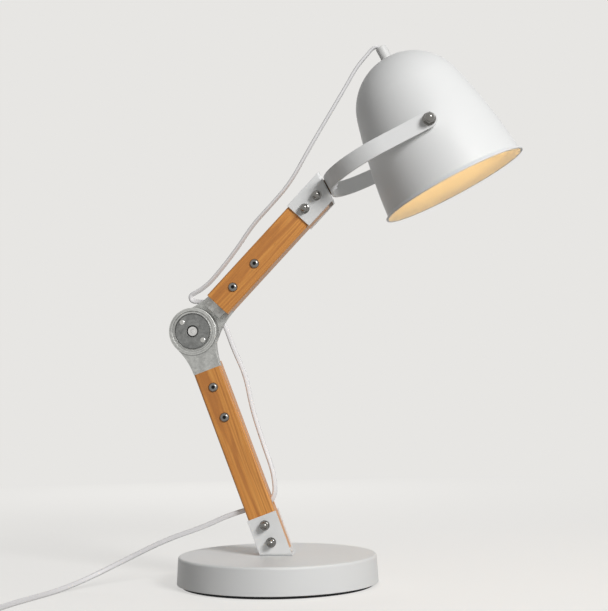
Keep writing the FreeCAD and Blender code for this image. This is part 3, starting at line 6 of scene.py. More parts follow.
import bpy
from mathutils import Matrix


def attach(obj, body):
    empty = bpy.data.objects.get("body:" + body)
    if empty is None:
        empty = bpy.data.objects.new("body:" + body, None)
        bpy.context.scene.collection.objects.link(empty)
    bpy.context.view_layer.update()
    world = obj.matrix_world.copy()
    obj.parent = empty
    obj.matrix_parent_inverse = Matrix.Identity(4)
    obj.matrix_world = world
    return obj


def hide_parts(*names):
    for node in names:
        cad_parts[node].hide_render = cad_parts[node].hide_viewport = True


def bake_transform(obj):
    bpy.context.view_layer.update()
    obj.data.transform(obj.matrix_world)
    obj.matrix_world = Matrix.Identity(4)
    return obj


bl_info = {
    "name": "Adjustable Table Lamp",
    "version": (1, 0, 0),
    "blender": (4, 5, 0),
    "location": "3D View > Sidebar > Lamp",
    "description": "Finishes and extra pieces for a table lamp with wooden arms and a spun metal shade",
    "category": "Object",
}

from math import atan2, cos, pi, radians, sin, sqrt, tau

import bpy
from bpy.props import FloatProperty, FloatVectorProperty, IntProperty, PointerProperty
from mathutils import Vector

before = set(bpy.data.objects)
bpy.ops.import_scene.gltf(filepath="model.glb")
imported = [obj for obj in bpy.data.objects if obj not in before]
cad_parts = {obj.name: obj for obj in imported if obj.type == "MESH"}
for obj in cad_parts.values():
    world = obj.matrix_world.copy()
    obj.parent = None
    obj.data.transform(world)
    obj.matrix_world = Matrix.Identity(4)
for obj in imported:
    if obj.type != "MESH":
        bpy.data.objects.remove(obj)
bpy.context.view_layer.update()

# Where the lamp's moving parts stand, in metres and degrees.
SHADE_PIVOT = (0.15751, 0.0, 0.44720)
SHADE_LEAN = -26.4
ELBOW_PIN = (-0.08155, 0.0, 0.25245)
LOWER_ARM_LEAN = 20.1
UPPER_ARM_LEAN = -43.5

# The arms' screws, from the elbow's pin along an arm, their sockets painted dark as shade, and the pivot
# bolt's bright end.
ARM_SCREWS = (0.060, 0.092)
SOCKET_RADIUS = 0.00178
BOLT_END_RADIUS = 0.00468

# The elbow covers' screws: their circle round the pin, their seat from the middle plane, their
# shank, the share of the head's height that stands straight, and the cross recess with its turn in
# radians for each of the two.
COVER_SCREW_CIRCLE = 0.0138
COVER_SCREW_SEAT = 0.0126
SHANK_RADIUS = 0.0013
SHANK_LENGTH = 0.007
HEAD_EDGE = 0.4
RECESS_LENGTH = 0.0031
RECESS_WIDTH = 0.00075
RECESS_DEPTH = 0.0008
RECESS_TURNS = (0.5, 1.4)

# The shade: the radii of the hole in its crown and of its rolled rim, the height of its flare and
# how far that ends inside the rim, as a share of the roll, and the points on each of its lines.
CROWN_HOLE = 0.0044
RIM_BEAD = 0.0012
FLARE_HEIGHT = 0.005
FLARE_INSET = 0.4
CROWN_STEPS, SIDE_STEPS, FLARE_STEPS, ROLL_STEPS = 26, 16, 8, 12

# The finishes: how far edges are rounded in the shading and given a painted highlight, where the elbow's
# turned steps with their painted highlights and painted shade lie round its pin, how far an arm's middle
# lies from the heart of its log, across and in depth, and the plainer colours.
COAT_EDGE = 0.0006
WOOD_EDGE = 0.0008
CAST_EDGE = 0.0005
TURNED_STEPS = (0.0170, 0.0250)
LOG_HEART = (0.011, 0.060)
SCREW_PLATE = (0.58, 0.58, 0.56)
BOLT_STEEL = (0.72, 0.72, 0.71)
BULB_CAP_METAL = (0.70, 0.70, 0.70)
PAD_BLACK = (0.022, 0.022, 0.024)
HOLDER_BLACK = (0.03, 0.03, 0.032)

# The stage: camera with its turns in degrees, lights, and how far off the floor fades into the wall.
CAMERA_PLACE = (0.12304, -1.2722, 0.18605)
CAMERA_TURN = (94.0793, 0.8334, 4.242)
CAMERA_LENS = 75.15
KEY_PLACE, KEY_TARGET = (1.28, -1.64, 1.33), (0.05, 0.0, 0.28)
RIM_PLACE, RIM_TARGET = (-0.35, 1.85, 0.60), (0.05, 0.0, 0.30)
LIGHT_SIDE = 0.7
ROOM_LIGHT = 0.20
FLOOR_SIDE = 16.0
FLOOR_LIFT = 0.66
FLOOR_FADE = (0.5, 1.6)

# The cord's route from the cap on the shade down to the base, and on to its coil.
HEAD_CORD_ROUTE = [
    (0.1137, 0.0, 0.5354), (0.1125, 0.0, 0.5372), (0.1095, 0.0001, 0.5390), (0.1059, 0.0002, 0.5389),
    (0.1026, 0.0004, 0.5370), (0.0980, 0.0008, 0.5316), (0.0875, 0.0014, 0.5199), (0.0775, 0.0021, 0.5029),
    (0.0680, 0.0029, 0.4875), (0.0505, 0.0043, 0.4592)]
ARM_CORD_ROUTE = [
    (0.0507, 0.0043, 0.4596), (0.0360, 0.0055, 0.4358), (0.0175, 0.0074, 0.4035),
    (-0.0035, 0.0096, 0.3808), (-0.0220, 0.0116, 0.3620), (-0.0400, 0.0132, 0.3360),
    (-0.0570, 0.0145, 0.3153), (-0.0670, 0.0152, 0.3042), (-0.0757, 0.0156, 0.2972),
    (-0.0821, 0.0159, 0.2938), (-0.08435, 0.0160, 0.2926), (-0.0866, 0.0161, 0.2914),
    (-0.0877, 0.0162, 0.2891), (-0.0872, 0.0164, 0.2866), (-0.0854, 0.0165, 0.2849),
    (-0.0829, 0.0166, 0.2846), (-0.0795, 0.0167, 0.2842), (-0.0728, 0.0168, 0.2834),
    (-0.0634, 0.0169, 0.2738)]
ELBOW_CORD_ROUTE = [
    (-0.0636, 0.0169, 0.2740), (-0.0538, 0.0170, 0.2640), (-0.0445, 0.0150, 0.2365),
    (-0.0310, 0.0118, 0.2075), (-0.0248, 0.0086, 0.1740), (-0.0130, 0.0054, 0.1380),
    (-0.0040, 0.0026, 0.1130), (-0.0020, 0.0010, 0.0996), (-0.0016, 0.0002, 0.0904),
    (-0.0047, 0.0, 0.0828), (-0.0108, 0.0, 0.0790), (-0.01745, 0.0, 0.07721)]
SUPPLY_CORD_ROUTE = [
    (-0.01745, 0.0, 0.07721), (-0.0470, 0.0, 0.0692), (-0.0725, -0.0006, 0.0574),
    (-0.1120, -0.0030, 0.0446), (-0.1500, -0.0110, 0.0265), (-0.1840, -0.0290, 0.0105),
    (-0.2070, -0.0580, 0.0027), (-0.2215, -0.1030, 0.0026), (-0.2325, -0.1460, 0.0026)]
SWITCH_CORD_ROUTE = [
    (-0.0318, 0.0120, 0.0078), (-0.0290, 0.0270, 0.0086), (-0.0225, 0.0420, 0.0070),
    (-0.0135, 0.0545, 0.0060), (-0.0015, 0.0610, 0.0078), (0.0100, 0.0580, 0.0118),
    (0.0150, 0.0480, 0.0172), (0.0150, 0.0390, 0.0200), (0.0150, 0.0310, 0.0203)]
PLUG_CORD_ROUTE = [
    (0.0150, -0.0310, 0.0203), (0.0150, -0.0390, 0.0200), (0.0150, -0.0480, 0.0170),
    (0.0100, -0.0562, 0.0112), (-0.0015, -0.0598, 0.0070), (-0.0125, -0.0572, 0.0084),
    (-0.0185, -0.0500, 0.0150), (-0.0185, -0.0370, 0.0186)]

# How far the flat flex is turned about its line, in radians, at the ends of its upper stretches.
CAP_TILT, YOKE_TILT, ELBOW_TILT, HOLE_TILT = 0.0, 0.15, 1.45, 0.9

# The coil: its middle, its start in degrees, its points per turn, the column that each turn lies in
# from outside in, the share of a turn where the flex crosses to the next one, and its two layers.
COIL_CENTRE = (-0.2715, -0.1920)
COIL_START = 10
COIL_STEPS = 16
COIL_COLUMNS = (0, 1, 2, 2, 1, 0, 0)
COIL_CROSSING = 0.72
CLIMBING_TURN = 2
LOW_LAYER = 0.0027
LAYER_RISE = 0.0045

# The flex's section, and the ribs and free end of the sleeves at the switch.
CORE_ARC = 82
CORE_STEPS = 12
GROOVE_SHARE = 0.94
RIB_SPACING = 3
RIB_HEIGHT = 0.0004
RELIEF_END = 0.0029


# ---- sizes and colours that a user may change ---------------------------------------------------

def setting(name, description, default, **limits):
    return FloatProperty(name=name, description=description, default=default, **limits)


def length(name, description, default):
    return setting(name, description, default, unit="LENGTH", precision=4, min=0.0)


def colour(name, description, default):
    return FloatVectorProperty(name=name, description=description, default=default, subtype="COLOR",
                               size=3, min=0.0, max=1.0)


class LampSizes(bpy.types.PropertyGroup):
    """Sizes of the pieces that are modelled here."""

    cord_width: length("Cord width", "The flat flex measured across both cores", 0.0050)
    cord_thickness: length("Cord thickness", "The flat flex measured through one core", 0.0031)
    relief_length: length("Relief length", "Length of the sleeves at the switch", 0.0210)
    relief_radius: length("Relief radius", "Radius of those sleeves where they leave the switch", 0.0042)
    coil_turns: setting("Coil turns", "Turns in the coil of spare cord", 5.57, min=2.0, max=6.0)
    coil_radius: length("Coil radius", "From the coil's centre to the middle of its outer turn", 0.0335)
    turn_spacing: length("Turn spacing", "Between the middles of neighbouring turns", 0.0050)
    cover_screw_head: length("Cover screw head", "Radius of the elbow covers' screw heads", 0.0026)
    cover_screw_height: length("Cover screw height", "Height of those heads", 0.0013)
    cover_screw_turn: setting("Cover screw turn", "Degrees from the arm round to the first screw", 29.1)
    rim_radius: length("Rim radius", "Outer radius of the shade's rim", 0.0767)
    rim_drop: length("Rim drop", "From the shade's pivot down to its rim", 0.0590)
    crown_radius: length("Crown radius", "Radius of the shade's round top", 0.0582)
    crown_centre: length("Crown centre", "From the shade's pivot up to the middle of the round top", 0.0305)
    crown_end: setting("Crown end", "Degrees above level where the top meets the side", 15.0)
    side_radius: length("Side radius", "Radius of the shade's long curved side", 0.5600)
    sheet: length("Sheet", "Thickness of the shade's sheet", 0.0010)
    shade_steps: IntProperty(name="Shade steps", description="Facets round the shade", default=144,
                             min=32, max=256)


class LampColours(bpy.types.PropertyGroup):
    """Colours of the finishes and strengths of the lights."""

    powder_coat: colour("Powder coat", "Base, brackets, yoke and shade", (0.80, 0.805, 0.80))
    wood_light: colour("Light wood", "Early growth between the darker lines", (0.80, 0.385, 0.092))
    wood_middle: colour("Wood", "Main colour of the cherry arms", (0.68, 0.275, 0.055))
    wood_dark: colour("Dark wood", "Late growth lines and streaks", (0.42, 0.150, 0.032))
    casting: colour("Casting", "Raw die-cast elbow", (0.47, 0.475, 0.46))
    cover: colour("Elbow cover", "Darker discs in the elbow", (0.25, 0.255, 0.25))
    nickel: colour("Nickel", "Screws, washers and domed nuts", (0.23, 0.225, 0.215))
    zinc: colour("Zinc", "Bolts, nuts and plates that are mostly hidden", (0.60, 0.61, 0.63))
    flex: colour("Flex", "The cord's outer sheath", (0.82, 0.81, 0.815))
    plastic: colour("Plastic", "Switch, plug and cord cap", (0.72, 0.72, 0.705))
    bulb_glow: colour("Bulb glow", "Light of the lit bulb", (1.0, 0.60, 0.19))
    bulb_strength: setting("Bulb strength", "Brightness of the lit bulb", 9.8, min=0.0, max=30.0)
    backdrop: colour("Backdrop", "Floor and background", (0.80, 0.79, 0.77))
    key_power: setting("Key light", "Power of the main light", 40.0, min=0.0, unit="POWER")
    rim_power: setting("Rim light", "Power of the light behind the lamp", 10.0, min=0.0, unit="POWER")


# ---- materials ----------------------------------------------------------------------------------

# The Mix node's sockets when it mixes colours: factor, first and second colour, and result.
MIX_INPUTS = (0, 6, 7)
MIX_RESULT = 2


class Finish:
    """A material built on one Principled shader, with the object's own coordinates at hand."""

    def __init__(self, name, rough, metal=0.0):
        self.material = bpy.data.materials.new(name)
        self.material.use_nodes = True
        self.nodes = self.material.node_tree.nodes
        self.links = self.material.node_tree.links
        self.shader = self.nodes["Principled BSDF"]
        self.shader.inputs["Metallic"].default_value = metal
        self.shader.inputs["Roughness"].default_value = rough
        self.place = self.nodes.new("ShaderNodeTexCoord").outputs["Object"]
        self.soft_normal = None

    def set(self, **numbers):
        """Set plain numbers on the shader's own sockets."""
        for socket, value in numbers.items():
            self.shader.inputs[socket.replace("_", " ")].default_value = value
        return self

    def turned_place(self, turn, stretch, move=(0.0, 0.0, 0.0)):
        """The object's coordinates turned about Y by `turn` degrees, then stretched and moved."""
        turning = self.nodes.new("ShaderNodeMapping")
        turning.inputs["Rotation"].default_value[1] = radians(turn)
        self.links.new(self.place, turning.inputs["Vector"])
        stretching = self.nodes.new("ShaderNodeMapping")
        stretching.inputs["Scale"].default_value = stretch
        stretching.inputs["Location"].default_value = move
        self.links.new(turning.outputs["Vector"], stretching.inputs["Vector"])
        return stretching.outputs["Vector"]

    def noise(self, scale, detail, place=None, distortion=0.0, roughness=0.5):
        texture = self.nodes.new("ShaderNodeTexNoise")
        texture.inputs["Scale"].default_value = scale
        texture.inputs["Detail"].default_value = detail
        texture.inputs["Roughness"].default_value = roughness
        texture.inputs["Distortion"].default_value = distortion
        self.links.new(place or self.place, texture.inputs["Vector"])
        return texture.outputs["Fac"]

    def off_axis(self, *axes):
        """Distance from the nearest of some axes along Y, each given as its (x, z)."""
        nearest = None
        for x, z in axes:
            across = self.nodes.new("ShaderNodeMapping")
            across.inputs["Location"].default_value = (-x, 0.0, -z)
            across.inputs["Scale"].default_value = (1.0, 0.0, 1.0)
            self.links.new(self.place, across.inputs["Vector"])
            reach = self.nodes.new("ShaderNodeVectorMath")
            reach.operation = "LENGTH"
            self.links.new(across.outputs["Vector"], reach.inputs[0])
            far = reach.outputs["Value"]
            nearest = self.combine("MINIMUM", nearest, far) if nearest else far
        return nearest

    def rings(self, place, scale, distortion, waver):
        """Growth rings about the Z axis of `place`."""
        texture = self.nodes.new("ShaderNodeTexWave")
        texture.wave_type = "RINGS"
        texture.rings_direction = "Z"
        texture.inputs["Scale"].default_value = scale
        texture.inputs["Distortion"].default_value = distortion
        texture.inputs["Detail"].default_value = 3.0
        texture.inputs["Detail Scale"].default_value = waver
        self.links.new(place, texture.inputs["Vector"])
        return texture.outputs["Fac"]

    def ramp(self, factor, *stops):
        """Turn a factor into colours or greys at the given stops."""
        ramp = self.nodes.new("ShaderNodeValToRGB")
        marks = ramp.color_ramp.elements
        for at, value in stops[2:]:
            marks.new(at)
        for mark, (at, value) in zip(marks, stops):
            mark.position = at
        for mark, (at, value) in zip(marks, stops):
            mark.color = (*value, 1.0) if hasattr(value, "__len__") else (value, value, value, 1.0)
        self.links.new(factor, ramp.inputs["Fac"])
        return ramp.outputs["Color"]

    def range(self, factor, low, high, from_low=0.0, from_high=1.0):
        spread = self.nodes.new("ShaderNodeMapRange")
        spread.inputs["From Min"].default_value = from_low
        spread.inputs["From Max"].default_value = from_high
        spread.inputs["To Min"].default_value = low
        spread.inputs["To Max"].default_value = high
        self.links.new(factor, spread.inputs["Value"])
        return spread.outputs["Result"]

    def mix(self, factor, first, second):
        """Mix two colours, each a socket or a plain colour."""
        node = self.nodes.new("ShaderNodeMix")
        node.data_type = "RGBA"
        for value, socket in zip((factor, first, second), MIX_INPUTS):
            self.feed(value, node.inputs[socket])
        return node.outputs[MIX_RESULT]

    def feed(self, value, socket):
        """Link a socket, or set it to a plain colour or number."""
        if isinstance(value, bpy.types.NodeSocket):
            self.links.new(value, socket)
        elif hasattr(value, "__len__"):
            socket.default_value = (*value, 1.0)
        else:
            socket.default_value = value

    def combine(self, operation, first, second):
        """One number out of two, each a socket or a plain number."""
        node = self.nodes.new("ShaderNodeMath")
        node.operation = operation
        self.feed(first, node.inputs[0])
        self.feed(second, node.inputs[1])
        return node.outputs[0]

    def glow(self, shade, strength):
        """An emission of one colour; its strength is a socket or a number."""
        node = self.nodes.new("ShaderNodeEmission")
        self.feed(shade, node.inputs["Color"])
        self.feed(strength, node.inputs["Strength"])
        return node.outputs[0]

    def colour(self, socket):
        self.links.new(socket, self.shader.inputs["Base Color"])
        return self

    def roughness(self, socket):
        self.links.new(socket, self.shader.inputs["Roughness"])
        return self

    def soften(self, radius):
        """Round every edge in the shading; returns a factor that is 1 on an edge and 0 on a face."""
        bevel = self.nodes.new("ShaderNodeBevel")
        bevel.samples = 6
        bevel.inputs["Radius"].default_value = radius
        facing = self.nodes.new("ShaderNodeVectorMath")
        facing.operation = "DOT_PRODUCT"
        self.links.new(bevel.outputs["Normal"], facing.inputs[0])
        self.links.new(self.nodes.new("ShaderNodeNewGeometry").outputs["Normal"], facing.inputs[1])
        self.soft_normal = bevel.outputs["Normal"]
        return self.range(facing.outputs["Value"], 1.0, 0.0, from_low=0.75, from_high=0.97)

    def bump(self, *layers):
        """Stack bumps, each a height with its strength and depth in metres."""
        normal = self.soft_normal
        for height, strength, depth in layers:
            node = self.nodes.new("ShaderNodeBump")
            node.inputs["Strength"].default_value = strength
            node.inputs["Distance"].default_value = depth
            self.links.new(height, node.inputs["Height"])
            if normal:
                self.links.new(normal, node.inputs["Normal"])
            normal = node.outputs["Normal"]
        self.links.new(normal, self.shader.inputs["Normal"])
        return self


def tint(shade, amount):
    return tuple(min(1.0, part * amount) for part in shade)


def powder_coat(name="white_powder_coat", edge=0.0):
    """Satin white powder coat with a very fine orange peel, and a painted highlight on its edges."""
    white = bpy.context.scene.lamp_colours.powder_coat[:]
    coat = Finish(name, rough=0.5)
    coat.set(Specular_IOR_Level=0.4)
    toned = coat.ramp(coat.noise(9.0, 2.0), (0.3, tint(white, 0.98)), (0.7, white))
    if edge:
        # A painted highlight on the edges, where they would catch the light.
        toned = coat.mix(coat.range(coat.soften(edge), 0.0, 0.7), toned, tint(white, 1.13))
    coat.colour(toned)
    peel = coat.noise(1500.0, 2.0)
    coat.roughness(coat.range(coat.noise(260.0, 3.0), 0.44, 0.54, 0.3, 0.7))
    return coat.bump((peel, 0.10, 0.0002)).material


def arm_wood(name, lean):
    """Oiled cherry with straight grain along an arm that leans by `lean` degrees."""
    tones = bpy.context.scene.lamp_colours
    dark, middle, light = tones.wood_dark[:], tones.wood_middle[:], tones.wood_light[:]
    wood = Finish(name, rough=0.42)
    wood.set(Coat_Weight=0.12, Coat_Roughness=0.3)
    across = ELBOW_PIN[0] * cos(radians(lean)) + ELBOW_PIN[2] * sin(radians(lean))
    log = wood.turned_place(lean, (1.0, 1.0, 0.10), (LOG_HEART[0] - across, LOG_HEART[1], 0.0))
    rings = wood.rings(log, 125.0, 6.5, 0.5)
    clouds = wood.noise(34.0, 3.0, wood.turned_place(lean, (1.0, 1.0, 0.25)), 0.6)
    fibres = wood.noise(900.0, 3.0, wood.turned_place(lean, (1.0, 1.0, 0.02)), 0.1)
    pores = wood.noise(1500.0, 2.0, wood.turned_place(lean, (1.0, 1.0, 0.09)))
    growth = wood.ramp(rings, (0.0, dark), (0.15, middle), (0.55, light), (1.0, middle))
    calm = wood.mix(wood.ramp(clouds, (0.32, 0.60), (0.66, 0.15)), growth, middle)
    shaded = wood.mix(wood.ramp(clouds, (0.50, 0.0), (0.78, 0.55)), calm, light)
    lined = wood.mix(wood.ramp(fibres, (0.36, 0.40), (0.58, 0.0)), shaded, dark)
    dotted = wood.mix(wood.ramp(pores, (0.26, 0.40), (0.34, 0.0)), lined, tint(dark, 0.6))
    # A painted highlight on the arm's edges, where they would catch the light.
    wood.colour(wood.mix(wood.range(wood.soften(WOOD_EDGE), 0.0, 0.45), dotted, tint(light, 1.15)))
    wood.roughness(wood.range(fibres, 0.50, 0.36, 0.3, 0.7))
    return wood.bump((fibres, 0.14, 0.0003), (pores, 0.12, 0.0003)).material


def raw_casting(name, tone, dark, rough):
    """Mottled raw die casting, with painted shade in the corners of its turned steps and painted highlights
    on their edges and on every edge.
    """
    metal = Finish(name, metal=0.85, rough=rough)
    clouds = metal.noise(170.0, 6.0, distortion=0.8, roughness=0.7)
    blooms = metal.noise(62.0, 3.0, distortion=1.4)
    grain = metal.noise(900.0, 4.0)
    mottled = metal.ramp(clouds, (0.34, tint(tone, dark)), (0.5, tone), (0.66, tint(tone, 1.25)))
    stained = metal.mix(metal.ramp(blooms, (0.34, 0.55), (0.52, 0.0)), mottled, tint(tone, dark * 0.9))
    pitted = metal.mix(metal.ramp(grain, (0.35, 0.30), (0.6, 0.0)), stained, tint(tone, dark * 0.85))
    steps = metal.range(metal.off_axis((ELBOW_PIN[0], ELBOW_PIN[2])), 0.0, 1.0, *TURNED_STEPS)
    # Painted shade in the corners of the turned steps, and painted highlights on their edges.
    corners = metal.ramp(steps, (0.0, 0.0), (0.075, 0.75), (0.18, 0.75), (0.24, 0.0), (0.38, 0.0),
                         (0.44, 0.55), (0.50, 0.0), (0.83, 0.0), (0.87, 0.70), (0.97, 0.35), (1.0, 0.0))
    painted_step_highlights = metal.ramp(steps, (0.21, 0.0), (0.24, 0.85), (0.30, 0.0), (0.46, 0.0), (0.50, 0.5), (0.56, 0.0),
                       (0.77, 0.0), (0.81, 0.9), (0.84, 0.0))
    stepped = metal.mix(corners, pitted, tint(tone, 0.3))
    stepped = metal.mix(painted_step_highlights, stepped, tint(tone, 1.7))
    # A painted highlight on every edge.
    metal.colour(metal.mix(metal.range(metal.soften(CAST_EDGE), 0.0, 0.8), stepped, tint(tone, 1.7)))
    metal.roughness(metal.range(clouds, rough + 0.14, rough - 0.10, 0.3, 0.7))
    return metal.bump((clouds, 0.22, 0.0006), (grain, 0.25, 0.0002)).material


def plated(name, tone, rough, streak=0.05, axes=(), keep_within=None, sunk_within=None):
    """Bright plating with faint polishing marks; painted shade darkens its sockets, and it is darker beyond a
    radius of its axes.
    """
    metal = Finish(name, metal=1.0, rough=rough)
    marks = metal.noise(700.0, 3.0)
    toned = metal.ramp(metal.noise(120.0, 2.0), (0.3, tint(tone, 0.93)), (0.7, tone))
    worn = metal.range(marks, max(0.03, rough - streak), rough + streak, 0.3, 0.7)
    if axes:
        # Sockets get painted shade; with keep_within the plating is darker beyond that radius instead.
        edge = keep_within or sunk_within
        darkened_mask = metal.range(metal.off_axis(*axes), 0.0, 1.0, edge - 0.0001, edge + 0.0001)
        if sunk_within:
            darkened_mask = metal.range(darkened_mask, 1.0, 0.0)
        toned = metal.mix(darkened_mask, toned, tint(tone, 0.12))
        worn = metal.combine("MAXIMUM", worn, metal.range(darkened_mask, 0.0, 0.6))
    metal.colour(toned)
    metal.roughness(worn)
    return metal.bump((marks, 0.03, 0.0001)).material


def moulded(name, tone, rough, peel):
    """Moulded plastic or rubber with a fine tool texture."""
    plastic = Finish(name, rough=rough)
    texture = plastic.noise(1100.0, 3.0)
    plastic.colour(plastic.ramp(plastic.noise(45.0, 2.0), (0.3, tint(tone, 0.94)), (0.7, tone)))
    plastic.roughness(plastic.range(texture, rough - 0.06, rough + 0.06, 0.3, 0.7))
    return plastic.bump((texture, peel * 3, 0.0002)).material


def flex_sheath():
    """Soft white cord sheath with faint handling marks."""
    tone = bpy.context.scene.lamp_colours.flex[:]
    flex = Finish("white_flex", rough=0.42)
    scuffs = flex.noise(24.0, 3.0)
    flex.colour(flex.ramp(scuffs, (0.30, tint(tone, 0.955)), (0.62, tone)))
    flex.roughness(flex.range(scuffs, 0.38, 0.48, 0.3, 0.7))
    return flex.bump((flex.noise(300.0, 2.0), 0.03, 0.0001)).material


def rough_iron():
    iron = Finish("cast_iron", metal=0.6, rough=0.8)
    skin = iron.noise(300.0, 6.0)
    iron.colour(iron.ramp(skin, (0.3, (0.05, 0.05, 0.052)), (0.7, (0.13, 0.13, 0.135))))
    return iron.bump((skin, 0.6, 0.0006)).material


def friction_fibre():
    fibre = Finish("friction_fibre", rough=0.85)
    felt = fibre.noise(1200.0, 5.0)
    fibre.colour(fibre.ramp(felt, (0.3, (0.10, 0.055, 0.03)), (0.7, (0.26, 0.16, 0.09))))
    return fibre.bump((felt, 0.5, 0.0003)).material


def lit_glass():
    """Opal glass of the lit bulb."""
    colours = bpy.context.scene.lamp_colours
    glass = Finish("lit_opal_glass", rough=0.2)
    frost = glass.noise(500.0, 2.0)
    glass.colour(glass.ramp(frost, (0.3, (0.90, 0.86, 0.78)), (0.7, (0.96, 0.93, 0.86))))
    glass.shader.inputs["Emission Color"].default_value = (*colours.bulb_glow[:], 1.0)
    glass.shader.inputs["Emission Strength"].default_value = colours.bulb_strength
    return glass.bump((frost, 0.04, 0.0002)).material


def give_finish(material, *nodes):
    """Give CAD nodes a material in all their slots."""
    for name in nodes:
        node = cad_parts[name]
        if not node.material_slots:
            node.data.materials.append(material)
        for slot in node.material_slots:
            slot.material = material


# ---- modelling helpers --------------------------------------------------------------------------

def along_arm(lean, reach):
    """The (x, z) of a place on an arm, `reach` from the elbow's pin; the lower arm runs down."""
    up = -reach if lean > 0 else reach
    return ELBOW_PIN[0] - up * sin(radians(lean)), ELBOW_PIN[2] + up * cos(radians(lean))


def arc(centre, radius, start, end, steps):
    """Points on an arc in a half section, its angles in degrees."""
    for step in range(steps + 1):
        angle = radians(start + (end - start) * step / steps)
        yield centre[0] + radius * cos(angle), centre[1] + radius * sin(angle)


def sin_angle(opposite, radius):
    """The angle in degrees whose sine is opposite / radius."""
    return atan2(opposite, sqrt(radius * radius - opposite * opposite)) * 180 / pi


def choose(piece):
    """Make one object the only selected and the current one."""
    bpy.ops.object.select_all(action="DESELECT")
    piece.select_set(True)
    bpy.context.view_layer.objects.active = piece


def start_point(name, point):
    """Begin a piece as one vertex in edit mode."""
    bpy.ops.object.select_all(action="DESELECT")
    bpy.ops.mesh.primitive_plane_add(size=0.001)
    piece = bpy.context.object
    piece.name = name
    piece.data.name = name
    bpy.ops.object.mode_set(mode="EDIT")
    bpy.ops.mesh.select_mode(type="VERT")
    bpy.ops.mesh.select_all(action="SELECT")
    bpy.ops.mesh.merge(type="CENTER")
    bpy.ops.transform.translate(value=point)
    return piece


def draw_line(points):
    """Extrude the selected vertex along points; the first is where it is now."""
    for here, there in zip(points, points[1:]):
        step = Vector(there) - Vector(here)
        bpy.ops.mesh.extrude_region_move(TRANSFORM_OT_translate={"value": step})


def spin_piece(name, outline, steps):
    """Turn a half section of (radius, height) corners about Z into a closed piece."""
    corners = [(radius, 0.0, height) for radius, height in outline]
    piece = start_point(name, corners[0])
    draw_line(corners)
    bpy.ops.mesh.select_all(action="SELECT")
    bpy.ops.mesh.spin(steps=steps, angle=tau, center=(0, 0, 0), axis=(0, 0, 1))
    bpy.ops.mesh.select_all(action="SELECT")
    bpy.ops.mesh.remove_doubles(threshold=1e-6)
    bpy.ops.mesh.normals_make_consistent(inside=False)
    return piece


def place_piece(turn, move):
    """Turn what is being edited about Y by `turn` degrees, then move it into place."""
    bpy.ops.mesh.select_all(action="SELECT")
    bpy.ops.transform.rotate(value=radians(-turn), orient_axis="Y", center_override=(0, 0, 0))
    bpy.ops.transform.translate(value=move)
    bpy.ops.object.mode_set(mode="OBJECT")


def smooth(piece, angle):
    choose(piece)
    bpy.ops.object.shade_smooth_by_angle(angle=radians(angle))


def finish_piece(piece, material, slot, *replaced, body=None):
    """Give a piece its material and body, and hide what it stands for; the slot is not used."""
    piece.data.materials.clear()
    piece.data.materials.append(material)
    if body:
        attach(piece, body)
    if replaced:
        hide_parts(*replaced)


def add_cutter(name, size, place):
    """A block to cut a recess with."""
    bpy.ops.object.select_all(action="DESELECT")
    bpy.ops.mesh.primitive_cube_add(size=1.0)
    cutter = bpy.context.object
    cutter.name = name
    bpy.ops.object.mode_set(mode="EDIT")
    bpy.ops.transform.resize(value=size)
    bpy.ops.transform.translate(value=place)
    bpy.ops.object.mode_set(mode="OBJECT")
    return cutter


def cut_out(piece, cutter):
    """Take a cutter's shape out of a piece and put the cutter away."""
    choose(piece)
    bpy.ops.object.modifier_add(type="BOOLEAN")
    recess = piece.modifiers[-1]
    recess.operation = "DIFFERENCE"
    recess.object = cutter
    bpy.ops.object.modifier_apply(modifier=recess.name)
    bpy.data.objects.remove(cutter)


def copy_piece(piece, name):
    """A copy with its own mesh, made current."""
    choose(piece)
    bpy.ops.object.duplicate()
    twin = bpy.context.object
    twin.name = name
    twin.data.name = name
    return twin


# ---- cord ---------------------------------------------------------------------------------------

def draw_curve(name, dimensions, kind, places):
    """A curve object with one line through places; returns the object and its line."""
    data = bpy.data.curves.new(name, "CURVE")
    data.dimensions = dimensions
    line = data.splines.new(kind)
    line.points.add(len(places) - 1)
    for point, place in zip(line.points, places):
        point.co = (*place, 1.0)
    curve = bpy.data.objects.new(name, data)
    bpy.context.scene.collection.objects.link(curve)
    return curve, line


def curve_to_piece(curve, name, angle):
    """Turn a curve object into a mesh piece, smooth over edges below an angle."""
    choose(curve)
    bpy.ops.object.convert(target="MESH")
    piece = bpy.context.object
    piece.name = name
    smooth(piece, angle)
    return piece


def flex_section():
    """The flat twin flex in section: two round cores side by side with a shallow groove."""
    sizes = bpy.context.scene.lamp_sizes
    core = sizes.cord_thickness / 2
    groove = core * GROOVE_SHARE
    right = list(arc((sizes.cord_width / 2 - core, 0.0), core, -CORE_ARC, CORE_ARC, CORE_STEPS))
    left = [(-x, -y) for x, y in right]
    outline = right + [(0.0, groove)] + left + [(0.0, -groove)]
    section, line = draw_curve("flex_section", "2D", "POLY", [(x, y, 0.0) for x, y in outline])
    line.use_cyclic_u = True
    return section


def lay_flex(name, route, twist, steps):
    """Draw the flat flex along a smooth line through a route; returns the piece and its centre line."""
    curve, line = draw_curve(name, "3D", "NURBS", route)
    for number, point in enumerate(line.points):
        point.tilt = twist(number)
    line.order_u = 3
    line.use_endpoint_u = True
    curve.data.resolution_u = steps
    bare = bpy.data.meshes.new_from_object(curve)
    centre_line = [tuple(vertex.co) for vertex in bare.vertices]
    bpy.data.meshes.remove(bare)
    section = flex_section()
    curve.data.bevel_mode = "OBJECT"
    curve.data.bevel_object = section
    curve.data.use_fill_caps = True
    piece = curve_to_piece(curve, name, 60)
    bpy.data.objects.remove(section)
    return piece, centre_line


